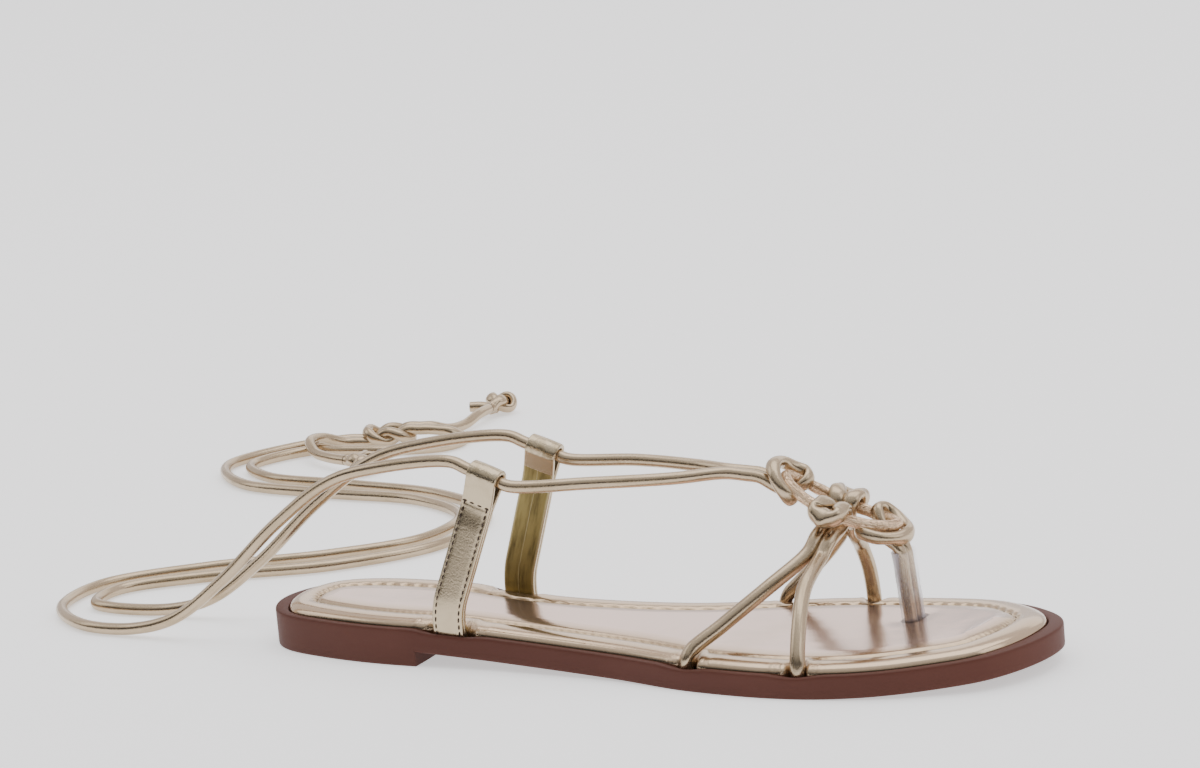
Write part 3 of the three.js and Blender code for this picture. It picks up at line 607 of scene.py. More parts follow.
@dataclass(frozen=True)
class FootbedFoil:
    """Smooth foil over the padded footbed: paler in the middle as a painted highlight, dull in its stitched
    channel with painted shade there, crinkled at its edge with painted shade in the wrinkles, and with a
    painted shadow round the toe post.

    Args:
        post: Where the toe post enters, in the row frame in metres.
        post_gap: Half the distance between the post's two cords, in metres.
        post_radius: The radius of the post's sleeve, in metres.
    """

    post: tuple[float, float]
    post_fibre_gap_shade: float
    post_radius: float
    name: str = "footbed_foil"
    # painted highlight: the pale pinkish colour of the middle, standing for the bright overhead light on the
    # foil
    light: Colour = (0.76, 0.565, 0.48)
    gold: Colour = (0.61, 0.462, 0.32)
    # beige: a random cloudy tone, and painted shade in the stitched channel
    beige_cloud_and_channel_shade: Colour = (0.42, 0.32, 0.19)
    # dark: real specks, painted shade in the rim's wrinkles, and the painted shadow round the toe post
    dark: Colour = (0.12, 0.06, 0.035)

    def post_hole(self, s: Shader) -> Value:
        """1 in the painted shadow of the slit round the toe post, and 0 away from it."""
        place = s.node(
            "ShaderNodeVectorMath",
            {"operation": "SUBTRACT"},
            {0: s.place.outputs["Object"], 1: (*self.post, 0)},
        ).outputs[0]
        across = (abs(s.axis(place, "Y")) - self.post_fibre_gap_shade).at_least(0.0)
        along = s.axis(place, "X")
        away = (across * across + along * along) ** 0.5
        return away.ease(self.post_radius + 0.0011, self.post_radius + 0.0003)

    def material(self) -> Material:
        """Builds the material."""
        s = Shader(self.name)
        cloud = s.noise(38, 3, 0.5)
        grain = s.noise(1500, 3, 0.55)
        specks = s.cells(210).ease(0.06, 0.02) * s.noise(45, 2).ease(0.55, 0.68)
        channel = s.mark("channel")
        crinkle = s.mark("crinkle")
        wrinkles = s.noise(1, 4, 0.6, s.stretch("Object", (900, 260, 500)), 0.8)
        # painted shadow in the slit where the toe post goes into the footbed
        slit_shadow = self.post_hole(s)
        # painted highlight: paler and pinker in the middle than at the gold rim, by the rim mark
        base = s.mix(self.light, self.gold, s.mark("rim"))
        # painted shade in the stitched channel and between its puckers, over a random cloudy tone
        base = s.mix(base, self.beige_cloud_and_channel_shade, cloud.ease(0.5, 0.85) * 0.22 + channel * 0.62)
        # painted shade in the wrinkles at the rim and the painted shadow round the toe post, over real dark
        # specks
        base = s.mix(base, self.dark, specks * 0.35 + crinkle * wrinkles.ease(0.5, 0.62) * 0.5 + slit_shadow)
        s.set(
            base_color=base,
            metallic=0.93,
            roughness=0.15 + cloud * 0.06 + channel * 0.12 + crinkle * 0.1,
        )
        fine = s.bump(grain, 0.00003, 0.5)
        soft = s.bump(cloud + s.noise(120, 2) * 0.35, 0.0006, 0.35, fine)
        s.set(normal=s.bump(wrinkles * crinkle, 0.0005, 0.9, soft))
        return s.material


@dataclass(frozen=True)
class StrapFoil:
    """Foil leather on the ankle tabs' outer faces, with painted shade in the wrinkles where the strap bends.
    """

    name: str = "strap_foil"
    light: Colour = (0.55, 0.45, 0.31)
    # rubbed: worn patches, and painted shade in the wrinkles at the bends
    rubbed: Colour = (0.34, 0.265, 0.15)
    metallic: float = 0.92
    roughness: float = 0.2

    def material(self) -> Material:
        """Builds the material."""
        s = Shader(self.name)
        patches = s.noise(95, 3, 0.6)
        grain = s.noise(1700, 3, 0.6)
        wrinkles = s.noise(1, 4, 0.6, s.stretch("UV", (3, 480, 1)), 0.4)
        bent = s.mark("squeeze")
        # worn patches, and painted shade in the wrinkles where the strap bends
        worn = patches.ease(0.5, 0.8) * 0.4 + bent * wrinkles.ease(0.45, 0.65) * 0.5
        s.set(
            base_color=s.mix(self.light, self.rubbed, worn),
            metallic=self.metallic,
            roughness=self.roughness + worn * 0.15 + grain * 0.06,
        )
        fine = s.bump(grain, 0.00006, 0.5)
        s.set(normal=s.bump(wrinkles * (0.1 + bent), 0.0003, 0.8, fine))
        return s.material


@dataclass(frozen=True)
class StrapLining:
    """The strap's darker olive side, its own reverse and partly painted shade, with the join down its middle.
    """

    name: str = "strap_lining"
    # olive: the reverse side's own tone, made darker partly as painted shade on the inner faces
    olive_with_painted_shade: Colour = (0.30, 0.235, 0.09)
    bright: Colour = (0.62, 0.53, 0.31)
    deep: Colour = (0.15, 0.115, 0.045)

    def material(self) -> Material:
        """Builds the material."""
        s = Shader(self.name)
        across = s.axis(s.place.outputs["UV"], "X")
        run = s.stretch("UV", (5, 60, 1))
        cloud = s.noise(1, 4, 0.62, run)
        grain = s.noise(1300, 3, 0.65)
        ragged = s.noise(380, 2) * 0.03
        join = abs(across - 0.5 + ragged - 0.015).ease(0.022, 0.006)
        edge = abs(across - 0.5).ease(0.40, 0.47)
        base = s.mix(self.olive_with_painted_shade, self.deep, cloud.ease(0.42, 0.7))
        base = s.mix(base, self.bright, join * 0.5 + edge * 0.7)
        s.set(base_color=base, metallic=0.85, roughness=0.36 + cloud * 0.12)
        fine = s.bump(grain, 0.0001, 0.6)
        s.set(normal=s.bump(join + cloud * 0.4, 0.00015, 0.7, fine))
        return s.material


@dataclass(frozen=True)
class SoleRubber:
    """Matt brown rubber with a fine moulded skin and faint scuffs."""

    name: str = "sole_rubber"
    brown: Colour = (0.096, 0.0295, 0.019)
    dusty: Colour = (0.155, 0.058, 0.04)

    def material(self) -> Material:
        """Builds the material."""
        s = Shader(self.name)
        cloud = s.noise(26, 3)
        skin = s.noise(1500, 3, 0.6)
        pores = s.cells(900).ease(0.0, 0.35)
        drawn = s.noise(1, 3, 0.6, s.stretch("Object", (60, 60, 900)))
        scuffs = s.noise(160, 4, 0.7).ease(0.62, 0.78)
        dust = cloud.ease(0.4, 0.8) * 0.22 + scuffs * 0.18 + skin * 0.12
        s.set(
            base_color=s.mix(self.brown, self.dusty, dust),
            roughness=0.52 + scuffs * 0.12 + cloud * 0.08,
            specular_ior_level=0.25,
        )
        fine = s.bump(skin * 0.6 + pores * 0.4, 0.00008, 0.5)
        s.set(normal=s.bump(drawn, 0.00012, 0.35, fine))
        return s.material


@dataclass(frozen=True)
class ClearSleeve:
    """The clear plastic tube on the toe post, which shows most at its two sides as the camera sees them, as a
    painted highlight.

    Args:
        middle: Where it stands, in the row frame in metres.
        level: The direction across it in which its sides lie, square to the camera's view, where the painted
            highlight shows.
        half: How far its sides are from its middle, in metres.
    """

    middle: tuple[float, float]
    level: tuple[float, float] = (0.886, 0.463)
    half: float = 0.0042
    name: str = "clear_sleeve"
    tint: Colour = (0.93, 0.91, 1.0)
    alpha: float = 0.08

    def material(self) -> Material:
        """Builds the material."""
        s = Shader(self.name)
        haze = s.noise(260, 3)
        place = s.place.outputs["Object"]
        along = (s.axis(place, "X") - self.middle[0]) * self.level[0]
        along = along + (s.axis(place, "Y") - self.middle[1]) * self.level[1]
        # painted highlight: more opaque at the two sides that the camera sees, where a clear tube catches
        # light
        sides = abs(along).ease(self.half * 0.55, self.half * 0.95)
        s.set(
            base_color=self.tint,
            roughness=0.06 + haze * 0.06,
            alpha=self.alpha + haze.ease(0.5, 0.8) * 0.08 + sides * 0.5,
            ior=1.49,
        )
        s.set(normal=s.bump(s.noise(150, 2), 0.0003, 0.3))
        return s.material


@dataclass(frozen=True)
class Thread:
    """Twisted sewing thread."""

    name: str
    pale: Colour
    dark: Colour
    roughness: float = 0.6

    def material(self) -> Material:
        """Builds the material."""
        s = Shader(self.name)
        twist = s.noise(2600, 2)
        s.set(base_color=s.mix(self.dark, self.pale, twist), roughness=self.roughness + twist * 0.2)
        s.set(normal=s.bump(twist, 0.0001, 0.7))
        return s.material


@dataclass(frozen=True)
class CordCore:
    """The packed fibres that show at a cord's cut end, with painted shade in the gaps between them."""

    name: str = "cord_core"
    fibre: Colour = (0.46, 0.38, 0.34)
    # painted shade in the gaps between the fibres
    fibre_gap_shade: Colour = (0.16, 0.11, 0.08)

    def material(self) -> Material:
        """Builds the material."""
        s = Shader(self.name)
        strands = s.cells(3200)
        s.set(base_color=s.mix(self.fibre, self.fibre_gap_shade, strands.ease(0.2, 0.6)), roughness=0.75 + strands * 0.2)
        s.set(normal=s.bump(strands, 0.0003, 0.8))
        return s.material


@dataclass(frozen=True)
class FloorPaint:
    """The plain pale studio floor."""

    name: str = "studio_floor"
    white: Colour = (0.86, 0.86, 0.87)
    glow: float = 0.75

    def material(self) -> Material:
        """Builds the material."""
        s = Shader(self.name)
        s.set(base_color=self.white, roughness=0.75 + s.noise(9, 2) * 0.1, specular_ior_level=0.1)
        s.set(emission_color=(1, 1, 1), emission_strength=self.glow)
        return s.material


@dataclass
class Finishes:
    """Every finish of the sandal, built once."""

    footbed: Material
    sleeve: Material
    cord: Material = field(default_factory=FoilCord("cord_foil").material)
    tie: Material = field(default_factory=FoilCord("tie_foil", roughness=0.17, crinkle=0.00007).material)
    ring: Material = field(default_factory=FoilRing().material)
    strap: Material = field(default_factory=StrapFoil().material)
    lining: Material = field(default_factory=StrapLining().material)
    rubber: Material = field(default_factory=SoleRubber().material)
    core: Material = field(default_factory=CordCore().material)
    dark_thread: Material = field(
        default_factory=Thread("dark_thread", (0.075, 0.045, 0.03), (0.02, 0.012, 0.008)).material
    )
    beige_cloud_and_channel_shade_thread: Material = field(
        default_factory=Thread("beige_cloud_and_channel_shade_thread", (0.36, 0.27, 0.17), (0.15, 0.10, 0.06)).material
    )


# ---------------------------------------------------------------------------------------------
# The studio
# ---------------------------------------------------------------------------------------------


@dataclass
class Studio:
    """The camera, lights and floor, with the sandal as the photograph sees it.

    Args:
        placing: How points come into the row frame.
        aim: What the camera points at, in millimetres from the back of the heel.
        tent: The tent's grey at heights from 0, straight down, to 1, straight up.
        far_tint: The colour of the tent behind the sandal.
        far_turn: How far to each side the tent passes into that colour.
    """

    placing: Placing
    aim: tuple[float, float, float] = (115.8, 0.0, 81.0)
    distance: float = 1314
    azimuth: float = 27.6
    elevation: float = 12.5
    roll: float = 5.2
    lens: float = 134.7
    sensor: float = 36
    floor_half: float = 6.0
    tent: tuple[tuple[float, float], ...] = (
        (0, 0.2), (0.47, 0.05), (0.5, 0.01), (0.66, 0.015), (0.78, 0.5), (1, 0.95)
    )  # fmt: skip
    far_tint: Colour = (1.0, 0.955, 0.965)
    far_turn: float = 0.35

    def camera(self) -> None:
        """Places the camera and makes it the scene's own."""
        a, e, r = (math.radians(v) for v in (self.azimuth, self.elevation, self.roll))
        look = vec(-math.sin(a) * math.cos(e), math.cos(a) * math.cos(e), -math.sin(e))
        level = vec(math.cos(a), math.sin(a), 0)
        upright = np.cross(level, look)
        right = level * math.cos(r) - upright * math.sin(r)
        up = level * math.sin(r) + upright * math.cos(r)
        eye = self.placing.to_row(np.array(self.aim) - look * self.distance)
        data = bpy.data.cameras.new("camera")
        data.sensor_fit, data.sensor_width, data.lens = "HORIZONTAL", self.sensor, self.lens
        data.clip_end = 60
        camera = into_scene("camera", data)
        turn = Matrix([[right[i], up[i], -look[i]] for i in range(3)]).to_4x4()
        camera.matrix_world = Matrix.Translation(Vector(eye)) @ turn
        bpy.context.scene.camera = camera

    def lamp(self, name: str, place: Colour, aim: Colour, size: tuple[float, float], watts: float) -> None:
        """One soft box.

        Args:
            name: The light's name.
            place: Where it stands, in metres.
            aim: What it points at, in metres.
            size: Its width and height, in metres.
            watts: Its power.
        """
        data = bpy.data.lights.new(name, "AREA")
        data.shape, data.size, data.size_y, data.energy = "RECTANGLE", size[0], size[1], watts
        light = into_scene(name, data)
        light.location = place
        light.rotation_euler = (Vector(aim) - Vector(place)).to_track_quat("-Z", "Y").to_euler()
        light.visible_camera = False

    def lights(self) -> None:
        """Soft boxes overhead and to the sides, as in a product photographer's tent."""
        self.lamp("top_box", (0.0, 0.25, 1.7), (0, 0, 0), (2.0, 1.3), 13)
        self.lamp("left_box", (-1.7, -0.3, 1.0), (0, 0, 0.03), (0.9, 1.2), 4)
        self.lamp("right_box", (1.7, -0.2, 1.1), (0, 0, 0.03), (0.9, 1.2), 4)
        self.lamp("back_box", (-0.4, 2.2, 1.1), (0, 0, 0.03), (2.6, 1.2), 8)

    def surroundings(self) -> None:
        """A pale tent that is darker low down on the photographer's side."""
        world = bpy.data.worlds.new("tent")
        world.use_nodes = True
        bpy.context.scene.world = world
        nodes = Nodes(world.node_tree)
        look = nodes.node("ShaderNodeTexCoord").outputs["Generated"]
        stops = [(at, (grey, grey, grey)) for at, grey in self.tent]
        tent = nodes.node("ShaderNodeValToRGB", {"stops": stops}, {0: nodes.axis(look, "Z") * 0.5 + 0.5})
        far = nodes.axis(look, "Y").ease(-self.far_turn, self.far_turn)
        backdrop = nodes.tree.nodes["Background"]
        nodes.feed(backdrop.inputs["Color"], nodes.mix(tent.outputs["Color"], self.far_tint, far))
        backdrop.inputs["Strength"].default_value = 1.0

    def floor(self) -> Object:
        """A plain square floor at Z = 0."""
        h = self.floor_half / MM
        shell = Shell()
        grid = shell.add(np.array([[[-h, -h, 0], [h, -h, 0]], [[-h, h, 0], [h, h, 0]]], float))
        shell.sheet(grid)
        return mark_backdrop(shell.build("floor", self.placing, [FloorPaint().material()]))

    def build(self) -> None:
        """Sets up the whole studio."""
        self.camera()
        self.lights()
        self.surroundings()
        self.floor()


# ---------------------------------------------------------------------------------------------
# The sole
# ---------------------------------------------------------------------------------------------


@dataclass
class SoleForm:
    """The last's outline and the heights that the sole, the cords and the tabs share."""

    length: float = 252
    ball: float = 80
    waist: float = 46
    heel: float = 50
    wall: float = 6.9
    heel_lift: float = 4.5
    heel_block: float = 60
    toe_spring: float = 4.4
    seat_depth: float = 2.4
    side_shelf: float = 2.4
    end_shelf: float = 4.8
    waist_end: float = 0.6
    ball_end: float = 0.74
    clear: float = 0.3

    def __post_init__(self) -> None:
        """Draws the two edge lines through the outline's rows: along, width, medial, lateral."""
        rows = (
            (0, self.heel, 0, 0),
            (0.03, self.heel, 0.33, 0.32),
            (0.1, self.heel, 0.46, 0.46),
            (0.2, self.heel, 0.46, 0.54),
            (0.35, self.waist, 0.41, 0.6),
            (0.5, self.ball, 0.3, 0.385),
            (0.62, self.ball, 0.43, 0.46),
            (0.72, self.ball, 0.505, 0.485),
            (0.82, self.ball, 0.52, 0.445),
            (0.9, self.ball, 0.46, 0.355),
            (0.96, self.ball, 0.32, 0.24),
            (1, self.ball, 0.07, -0.07),
        )
        self.knots = np.array([self.turn(r[0]) for r in rows])
        self.lines = {
            Side.MEDIAL: np.array([r[2] * r[1] for r in rows]),
            Side.LATERAL: np.array([-r[3] * r[1] for r in rows]),
        }

    @staticmethod
    def turn(along: float) -> float:
        """How far round the half outline a share of the length lies."""
        return math.acos(1 - 2 * min(1.0, max(0.0, along))) / math.pi

    def line(self, side: Side, turn: Points) -> Points:
        """The edge's Y at places round the half outline."""
        knots, values = self.knots, self.lines[side]
        slopes = across_neighbours(values) / across_neighbours(knots)
        turn = np.asarray(turn, float)
        i = np.clip(np.searchsorted(knots, turn, side="left") - 1, 0, len(knots) - 2)
        span = knots[i + 1] - knots[i]
        s = np.clip((turn - knots[i]) / span, 0, 1)
        rise = values[i] * (1 + 2 * s) + span * slopes[i] * s
        fall = values[i + 1] * (3 - 2 * s) + span * slopes[i + 1] * (s - 1)
        return rise * (1 - s) ** 2 + fall * s**2

    def edge(self, x: float, side: Side) -> float:
        """The edge's Y at a distance from the heel."""
        return float(self.line(side, np.array(self.turn(x / self.length))))

    def contour(self, steps: int) -> tuple[Points, Points, Points]:
        """Points round the sole's edge, lateral side first, with stations to each side of the breast.

        Args:
            steps: How many steps from heel to toe.

        Returns:
            The points in X and Y, the directions out of the sole, and the run round the edge.
        """
        breast = [self.turn((self.heel_block + d) / self.length) for d in (-0.05, 0.05)]
        turns = np.array(sorted([*np.linspace(0, 1, steps + 1), *breast]))
        x = (1 - np.cos(turns * math.pi)) / 2 * self.length
        lateral = np.column_stack([x, self.line(Side.LATERAL, turns)])
        medial = np.column_stack([x, self.line(Side.MEDIAL, turns)])
        points = np.vstack([lateral, medial[-2:0:-1]])
        along = units(np.roll(points, -1, axis=0) - np.roll(points, 1, axis=0))
        return points, np.column_stack([along[:, 1], -along[:, 0]]), run_along(points)

    def underside(self, x: Points) -> Points:
        """The height of the sole's underside."""
        x = np.asarray(x, float)
        waist, ball = self.waist_end * self.length, self.ball_end * self.length
        fall = np.clip((waist - x) / (waist - self.heel_block), 0, 1) ** 1.4 * self.heel_lift
        rise = np.clip((x - ball) / (self.length - ball), 0, 1.1) ** 1.8 * self.toe_spring
        return np.where(x <= self.heel_block, self.heel_lift, fall + rise)

    def rim(self, x: Points) -> Points:
        """The height of the shelf round the footbed."""
        return self.underside(x) + self.wall

    def seat(self, x: Points) -> Points:
        """The height that the footbed sits at."""
        return self.rim(x) - self.seat_depth

    def shelf(self, out: Points) -> Points:
        """The shelf's width where the edge faces out."""
        return self.side_shelf + (self.end_shelf - self.side_shelf) * out[..., 0] ** 2

    def placing(self) -> Placing:
        """The frame's middle, from the outline as the part's source steps it."""
        turns = np.linspace(0, 1, 31)
        y = np.concatenate([self.line(Side.LATERAL, turns), self.line(Side.MEDIAL, turns)])
        return Placing((self.length / 2, (y.min() + y.max()) / 2))


@dataclass(frozen=True)
class Entry:
    """Where a cord or a tab goes down between the shelf and the footbed.

    Args:
        x: Its distance from the back of the heel.
        side: The side of the foot.
        half: Half its width along the edge.
        depth: How far it pushes the footbed's rim in.
        soft: How far beside it the rim comes back.
        bite: How far it cuts into the rubber's shelf.
    """

    x: float
    side: Side
    half: float
    depth: float
    soft: float
    bite: float

    def near(self, points: Points, soft: float) -> Points:
        """1 beside the entry and 0 away from it, for points round the edge."""
        along = np.abs(points[:, 0] - self.x) - self.half
        same = np.where(points[:, 1] * self.side.value > 0, 1.0, 0.0)
        return (1 - ease(along, 0, soft)) * same


ENTRIES = (
    *[Entry(x, side, 0.9, 3.9, soft=3.4, bite=0.5) for side, both in CORD_STATIONS.items() for x in both],
    *[Entry(x, side, 5.0, 2.3, soft=4.5, bite=0.8) for side, x in TAB_STATIONS.items()],
)


@dataclass
class Outsole:
    """The moulded rubber sole: a low heel block, a flat waist and forefoot, and the footbed's seat.

    Args:
        form: The sole's form.
        finishes: The sandal's finishes.
        steps: How many steps its skin has from heel to toe.
        round_over: How far its top edge is rounded.
        dip: How far the top edge is pressed down where a cord or tab goes in.
        dip_reach: How far to each side that pressing shows.
        bite_reach: How far to each side the cut in the shelf shows.
    """

    form: SoleForm
    finishes: Finishes
    steps: int = 480
    round_over: float = 0.55
    dip: float = 0.7
    dip_reach: float = 9
    bite_reach: float = 2.2

    def rows(self, points: Points, out: Points) -> list[tuple[Points, Points]]:
        """Inset and height of each row of points, from under the sole over the wall to the seat."""
        form, r = self.form, self.round_over
        x = points[:, 0]
        block = x <= form.heel_block
        low = np.where(block, 0.0, form.underside(x))
        pressed = sum(e.near(points, self.dip_reach) for e in ENTRIES)
        bite = sum(e.near(points, self.bite_reach) * e.bite for e in ENTRIES)
        rim = form.rim(x) - self.dip * np.clip(pressed, 0, 1)
        shelf = form.shelf(out) - bite
        seat = form.seat(x)
        rows = [(7.0, low), (1.4, low), (0.35, low + 0.05), (0.08, low + 0.3), (0.0, low + 0.8)]
        rows += [(0.0, low + (rim - low) * s) for s in (0.3, 0.5, 0.7)]
        rows += [(0.0, rim - 1.1), (0.02, rim - r), (0.12, rim - 0.45 * r)]
        rows += [(0.34, rim - 0.12 * r), (0.7, rim)]
        rows += [(shelf * 0.6, rim - 0.02), (shelf - 0.35, rim - 0.05), (shelf - 0.08, rim - 0.3)]
        rows += [(shelf, rim - 0.8), (shelf, seat)]
        return [(np.broadcast_to(inset, x.shape), np.broadcast_to(z, x.shape)) for inset, z in rows]

    def build(self, placing: Placing) -> Object:
        """Makes the sole and lets it stand for its CAD node."""
        points, out, _ = self.form.contour(self.steps)
        shell = Shell()
        rows = self.rows(points, out)
        grid = np.array([shell.add(np.column_stack([points - out * inset[:, None], z])) for inset, z in rows])
        shell.sheet(grid, close=True)
        self.cross(shell, grid[0])
        self.cross(shell, grid[-1])
        piece = shell.build("sole", placing, [self.finishes.rubber], crease=50)
        return enter(piece, Slot.RUBBER, "outsole")

    @staticmethod
    def cross(shell: Shell, ring: np.ndarray) -> None:
        """Closes a ring flat, joining lateral and medial points of one station."""
        n = len(ring)
        half = n // 2
        for i in range(half):
            corners = [ring[i], ring[i + 1], ring[(n - i - 1) % n], ring[(n - i) % n]]
            shell.face(tuple(dict.fromkeys(int(c) for c in corners)))


@dataclass
class Footbed:
    """The padded footbed: a rolled rim, a stitched channel with its puckers, and a low crown.

    Args:
        form: The sole's form.
        finishes: The sandal's finishes.
        thickness: How thick it is at its crown.
        band: How wide its rolled rim is.
        steps: How many steps its skin has from heel to toe.
        pucker: How far apart the puckers lie.
        channel: Where the stitched channel lies, in bands from the edge.
        groove: The channel's depth.
        lift: How high the puckers rise.
        shift: How far the puckers lean along the channel.
        wobble: How far the rim wrinkles beside a cord or tab.
        rows_fine: How many rows the section has.
        across: How many strips fill the middle.
    """

    form: SoleForm
    finishes: Finishes
    thickness: float = 4.7
    band: float = 8.5
    steps: int = 760
    pucker: float = 5.4
    channel: float = 1.03
    groove: float = 0.12
    lift: float = 0.34
    shift: float = 0.28
    wobble: float = 0.16
    rows_fine: int = 44
    across: int = 26

    def section(self) -> Points:
        """The section from its lower edge to the crown: inset in bands, height in thicknesses."""
        knots = np.array(
            [
                (0, -0.1, 0), (0, 0.2, 0), (0.005, 0.42, 0), (0.09, 0.68, 0), (0.3, 0.87, 0),
                (0.62, 0.925, 0), (0.86, 0.86, 0), (1.0, 0.70, 0), (1.07, 0.71, 0), (1.2, 0.86, 0),
                (1.42, 0.935, 0), (1.7, 0.975, 0),
            ]
        )  # fmt: skip
        line = Smooth(knots * (self.band, self.thickness, 0)).walk(0.2)
        pick = np.linspace(0, len(line) - 1, self.rows_fine).round().astype(int)
        return line[pick][:, :2]

    def dents(self, place: Points) -> Points:
        """How far the top lies below its crown round the toe post and under the foot."""
        away = np.hypot(place[..., 0] - POST[0], np.maximum(np.abs(place[..., 1] - POST[1]) - 2, 0))
        heel = bell(np.hypot(place[..., 0] - 32, place[..., 1] * 1.2), 22)
        ball = bell(np.hypot((place[..., 0] - 178) * 0.8, place[..., 1] + 6), 26)
        return 0.8 * bell(away, 5) + 0.35 * heel + 0.3 * ball

    def build(self, placing: Placing) -> Object:
        """Makes the footbed and lets it stand for its CAD node."""
        form = self.form
        points, out, run = form.contour(self.steps)
        x = points[:, 0]
        base = form.seat(x) + form.clear
        edge = form.shelf(out) + form.clear
        push = sum(e.near(points, e.soft) * e.depth for e in ENTRIES)
        crowd = np.clip(sum(e.near(points, 11) for e in ENTRIES), 0, 1)
        wave = 2 * math.pi * run / self.pucker
        wander = 0.6 * np.sin(run * 0.11) + 0.4 * np.sin(run * 0.043 + 1)
        shell = Shell()
        rows = []
        for inset, height in self.section():
            share = inset / self.band
            give = 1 - ease(share, 0.55, 1.25)
            groove = bell(share - self.channel, 0.13)
            slant = wave + (share - self.channel) * 9 + wander
            gather = (0.5 + 0.5 * np.sin(slant)) ** 2
            inner_more = np.where(share > self.channel, 1.0, 0.55)
            lift = self.lift * groove * gather * inner_more - self.groove * groove
            wobble = self.wobble * bell(share - 0.45, 0.3) * np.sin(wave * 0.5 + 2 * np.sin(run * 0.07))
            shift = self.shift * groove * np.sin(slant)
            place = points - out * (edge + push * give + inset + shift)[:, None]
            z = base + height + lift + wobble * crowd - self.dents(place) * ease(share, 1.0, 1.6)
            rows.append(
                shell.add(
                    np.column_stack([place, z]),
                    # the channel mark: where the painted shade in the groove and between the puckers lies
                    channel=groove * (0.35 + 0.65 * (1 - gather)) + 0.25 * bell(share - 1.25, 0.22),
                    # the rim mark: gold at the roll, passing to the painted highlight's paler colour towards
                    # the middle
                    rim=1 - ease(np.full(len(x), share), 1.0, 1.9),
                    # the crinkle mark: where the rim's wrinkles and their painted shade show
                    crinkle=crowd * bell(share - 0.2, 0.35) * (0.5 + 0.5 * np.sin(run * 0.9) ** 2),
                )
            )
        grid = np.array(rows)
        shell.sheet(grid, close=True)
        Outsole.cross(shell, grid[0])
        self.crown(shell, grid[-1])
        piece = shell.build("footbed", placing, [self.finishes.footbed], crease=75)
        return enter(piece, Slot.FOOTBED, "insole")

    def crown(self, shell: Shell, ring: np.ndarray) -> None:
        """Fills the padded middle inside the last row."""
        n = len(ring)
        half = n // 2
        skin = np.vstack(shell.points)
        left, right = ring[1:half], ring[: half : -1]
        a, b = skin[left], skin[right]
        share = np.linspace(0, 1, self.across + 1)[1:-1]
        place = a[:, None] * (1 - share)[None, :, None] + b[:, None] * share[None, :, None]
        width = np.linalg.norm(a - b, axis=1)[:, None]
        rise = 4 * share * (1 - share) * np.clip(width / 50, 0, 1) * 0.025 * self.thickness
        dents_edge = self.dents(a)[:, None] * (1 - share) + self.dents(b)[:, None] * share
        place[..., 2] += rise + dents_edge - self.dents(place)
        inner = shell.add(place)
        grid = np.column_stack([left, inner, right])
        shell.sheet(grid)
        for tip, row in ((ring[0], grid[0]), (ring[half], grid[-1])):
            for c in range(len(row) - 1):
                shell.face((tip, row[c], row[c + 1]))


# ---------------------------------------------------------------------------------------------
# Cords
# ---------------------------------------------------------------------------------------------


class End(Enum):
    """How a tube of cord ends."""

    HIDDEN = "hidden"
    CUT = "cut"


